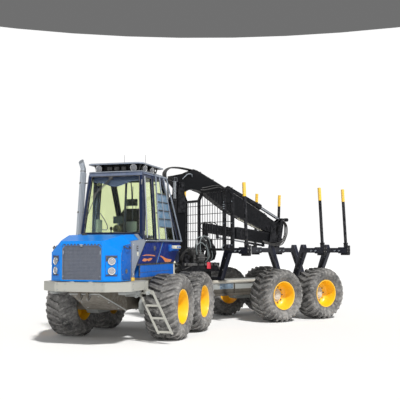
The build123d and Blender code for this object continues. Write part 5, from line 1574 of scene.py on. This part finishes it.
# ladder: the bosses of its hinge on the bumper
bosses = bmesh.new()
step = {"x": 3.325, "wide": 0.28, "y": 0.905}
x = step["x"] + step["wide"] / 2 + 0.02
addRod(bosses, (x - 0.03, step["y"] + 0.085, 0.992), (x + 0.03, step["y"] + 0.085, 0.992), 0.04, 28, 0.036)
addRod(bosses, (x + 0.015, 0.8, 1), (x + 0.045, 0.8, 1), 0.048, 28)
addRod(bosses, (x + 0.015, 0.76, 0.93), (x + 0.045, 0.76, 0.93), 0.034, 24)
finishPiece(bosses, "ladder_bosses", "chassisGrey", "front_frame", True)
print("forwarder: belly and bumper fitted")

# bogies: bolted case covers, drain plugs and the seals around the stub axles
axleZ = wheel["centre"]
for unit in ("front", "rear"):
    bogieX = wheel[unit]
    for side, hand in sides:
        cover, seal = newMeshes(2)
        for along in (-0.75, 0.75):
            addRing(seal, (bogieX + along, hand * 0.735, axleZ), (0, hand, 0), 0.075, 0.125, 0.03, 32)
            for x, z in circlePoints(8, 0.104, 0.5):
                addBolt(seal, (bogieX + along + x, hand * 0.765, axleZ + z), (0, hand, 0), 0.008)
        for out in (0.735, 0.47):
            way = 1 if out > 0.6 else -1
            edge = sorted((hand * out, hand * (out + way * 0.01)))
            for near, far in ((-0.52, -0.24), (0.24, 0.52)):
                addBlock(cover, (bogieX + near, bogieX + far), edge, (0.545, 0.785), 0.004)
                for x in (near + 0.035, far - 0.035):
                    for z in (0.575, 0.755):
                        addBolt(cover, (bogieX + x, hand * (out + way * 0.01), z), (0, hand * way, 0), 0.009)
        addRing(seal, (bogieX, hand * 0.735, axleZ), (0, hand, 0), 0.06, 0.165, 0.018, 40)
        addRod(seal, (bogieX, hand * 0.735, axleZ), (bogieX, hand * 0.76, axleZ), 0.062, 32, 0.05)
        for x, z in circlePoints(10, 0.135):
            addBolt(seal, (bogieX + x, hand * 0.753, axleZ + z), (0, hand, 0), 0.011)
        for along in (-0.62, 0.62):
            addRod(seal, (bogieX + along, hand * 0.6, 0.512), (bogieX + along, hand * 0.6, 0.495), 0.018, 6)
        finishRows(f"bogie_{unit}_{side}", unit == "front",
            (cover, f"bogie_covers_{unit}_{side}", "chassisGrey"),
            (seal, f"bogie_seals_{unit}_{side}", "castIron"),
        )

# axle blocks: bolts up into the frames
for unit in ("front", "rear"):
    bogieX = wheel[unit]
    axleBolts = bmesh.new()
    for x in (-0.105, 0.105):
        for y in (-0.24, -0.08, 0.08, 0.24):
            addBolt(axleBolts, (bogieX + x, y, 0.5305), (0, 0, -1), 0.016)
    finishPiece(axleBolts, f"axle_bolts_{unit}", "castIron", f"{unit}_frame", unit == "front")

# articulation: greased pins over the hinge lugs and the hoses that hang behind the cab
hinge = bmesh.new()
for z, way in ((1.1605, 1), (0.5795, -1)):
    addRod(hinge, (0, 0, z), (0, 0, z + way * 0.022), 0.092, 32, 0.086)
    for x, y in circlePoints(6, 0.062):
        addBolt(hinge, (x, y, z + way * 0.022), (0, 0, way), 0.011)
finishPiece(hinge, "hinge_caps", "castIron", "front_frame", True)
for k in range(4):
    y = 0.15 + 0.045 * k
    hangHose(f"joint_hose_{k}", [
        (-0.205, y, 0.96 - 0.02 * k), (-0.13, y + 0.02, 1.06), (-0.11, y + 0.03, 1.2), (-0.14, y + 0.02, 1.32),
        (-0.22, y, 1.37), (-0.292, y - 0.02, 1.375),
    ], 0.013, "rear_frame", coat="hoseGrey" if k == 2 else "hoseRubber")
print("forwarder: running gear fitted")
print(
    "hoses:",
    "; ".join(f"{name} {length} m x {round(across * 1000)} mm" for name, length, across in hoseLengths),
)

# plain pale floor, soft light and the camera at the height of the cab door
stageSet = {
    "floor": 140, "floorColour": (0.93, 0.93, 0.93), "sunPower": 3.5, "sunHigh": 50, "sunRound": 80,
    "fillPower": 60, "worldPower": 0.16, "wall": 62, "wallHigh": 26, "wallGlow": 1,
}
bpy.ops.mesh.primitive_plane_add(size=stageSet["floor"], location=(0, 0, 0))
floor = bpy.context.object
floor.name = "floor"
floorCoat = bpy.data.materials.new("floorCoat")
floorCoat.use_nodes = True
floorShader = floorCoat.node_tree.nodes["Principled BSDF"]
floorShader.inputs["Base Color"].default_value = (*stageSet["floorColour"], 1)
floorShader.inputs["Roughness"].default_value = 0.9
floor.data.materials.append(floorCoat)

# a white wall far off, all the way round
bpy.ops.mesh.primitive_cylinder_add(
    vertices=64, radius=stageSet["wall"], depth=stageSet["wallHigh"], end_fill_type="NOTHING", location=(
        0, 0, stageSet["wallHigh"] / 2,
    )
)
wall = bpy.context.object
wall.name = "wall"
wall.visible_shadow = False
wallCoat = floorCoat.copy()
wallCoat.name = "wallCoat"
wallShader = wallCoat.node_tree.nodes["Principled BSDF"]
wallShader.inputs["Base Color"].default_value = (0, 0, 0, 1)
wallShader.inputs["Emission Color"].default_value = (1, 1, 1, 1)
wallShader.inputs["Emission Strength"].default_value = stageSet["wallGlow"]
wall.data.materials.append(wallCoat)


def addSoftLight(name, place, aim, size, power, colour=(1, 1, 1)):
    lamp = bpy.data.lights.new(name, "AREA")
    lamp.size = size
    lamp.energy = power
    lamp.color = colour
    holder = bpy.data.objects.new(name, lamp)
    holder.location = place
    holder.rotation_euler = (Vector(aim) - Vector(place)).to_track_quat("-Z", "Y").to_euler()
    scene.collection.objects.link(holder)


sunLamp = bpy.data.lights.new("sunLamp", "SUN")
sunLamp.energy = stageSet["sunPower"]
sunLamp.angle = math.radians(5)
sunLamp.color = (1, 0.985, 0.96)
sun = bpy.data.objects.new("sunLamp", sunLamp)
sun.rotation_euler = (math.radians(90 - stageSet["sunHigh"]), 0, math.radians(stageSet["sunRound"] + 90))
scene.collection.objects.link(sun)
addSoftLight("fillLight", (14, 12, 5), (0, 0, 1.2), 8, stageSet["fillPower"], (0.95, 0.97, 1))
world = bpy.data.worlds.new("studio")
world.use_nodes = True
world.node_tree.nodes["Background"].inputs["Color"].default_value = (1, 1, 1, 1)
world.node_tree.nodes["Background"].inputs["Strength"].default_value = stageSet["worldPower"]
scene.world = world
scene.view_settings.view_transform = "Standard"

cameraSet = {"place": (9.978, 13.499, 1.85), "yaw": 233.98, "pitch": 3.96, "lens": 62.75}
lensData = bpy.data.cameras.new("camera")
lensData.lens = cameraSet["lens"]
lensData.sensor_width = 36
lensData.clip_end = 200
camera = bpy.data.objects.new("camera", lensData)
camera.location = cameraSet["place"]
camera.rotation_euler = (math.radians(90 + cameraSet["pitch"]), 0, math.radians(cameraSet["yaw"] - 90))
scene.collection.objects.link(camera)
scene.camera = camera
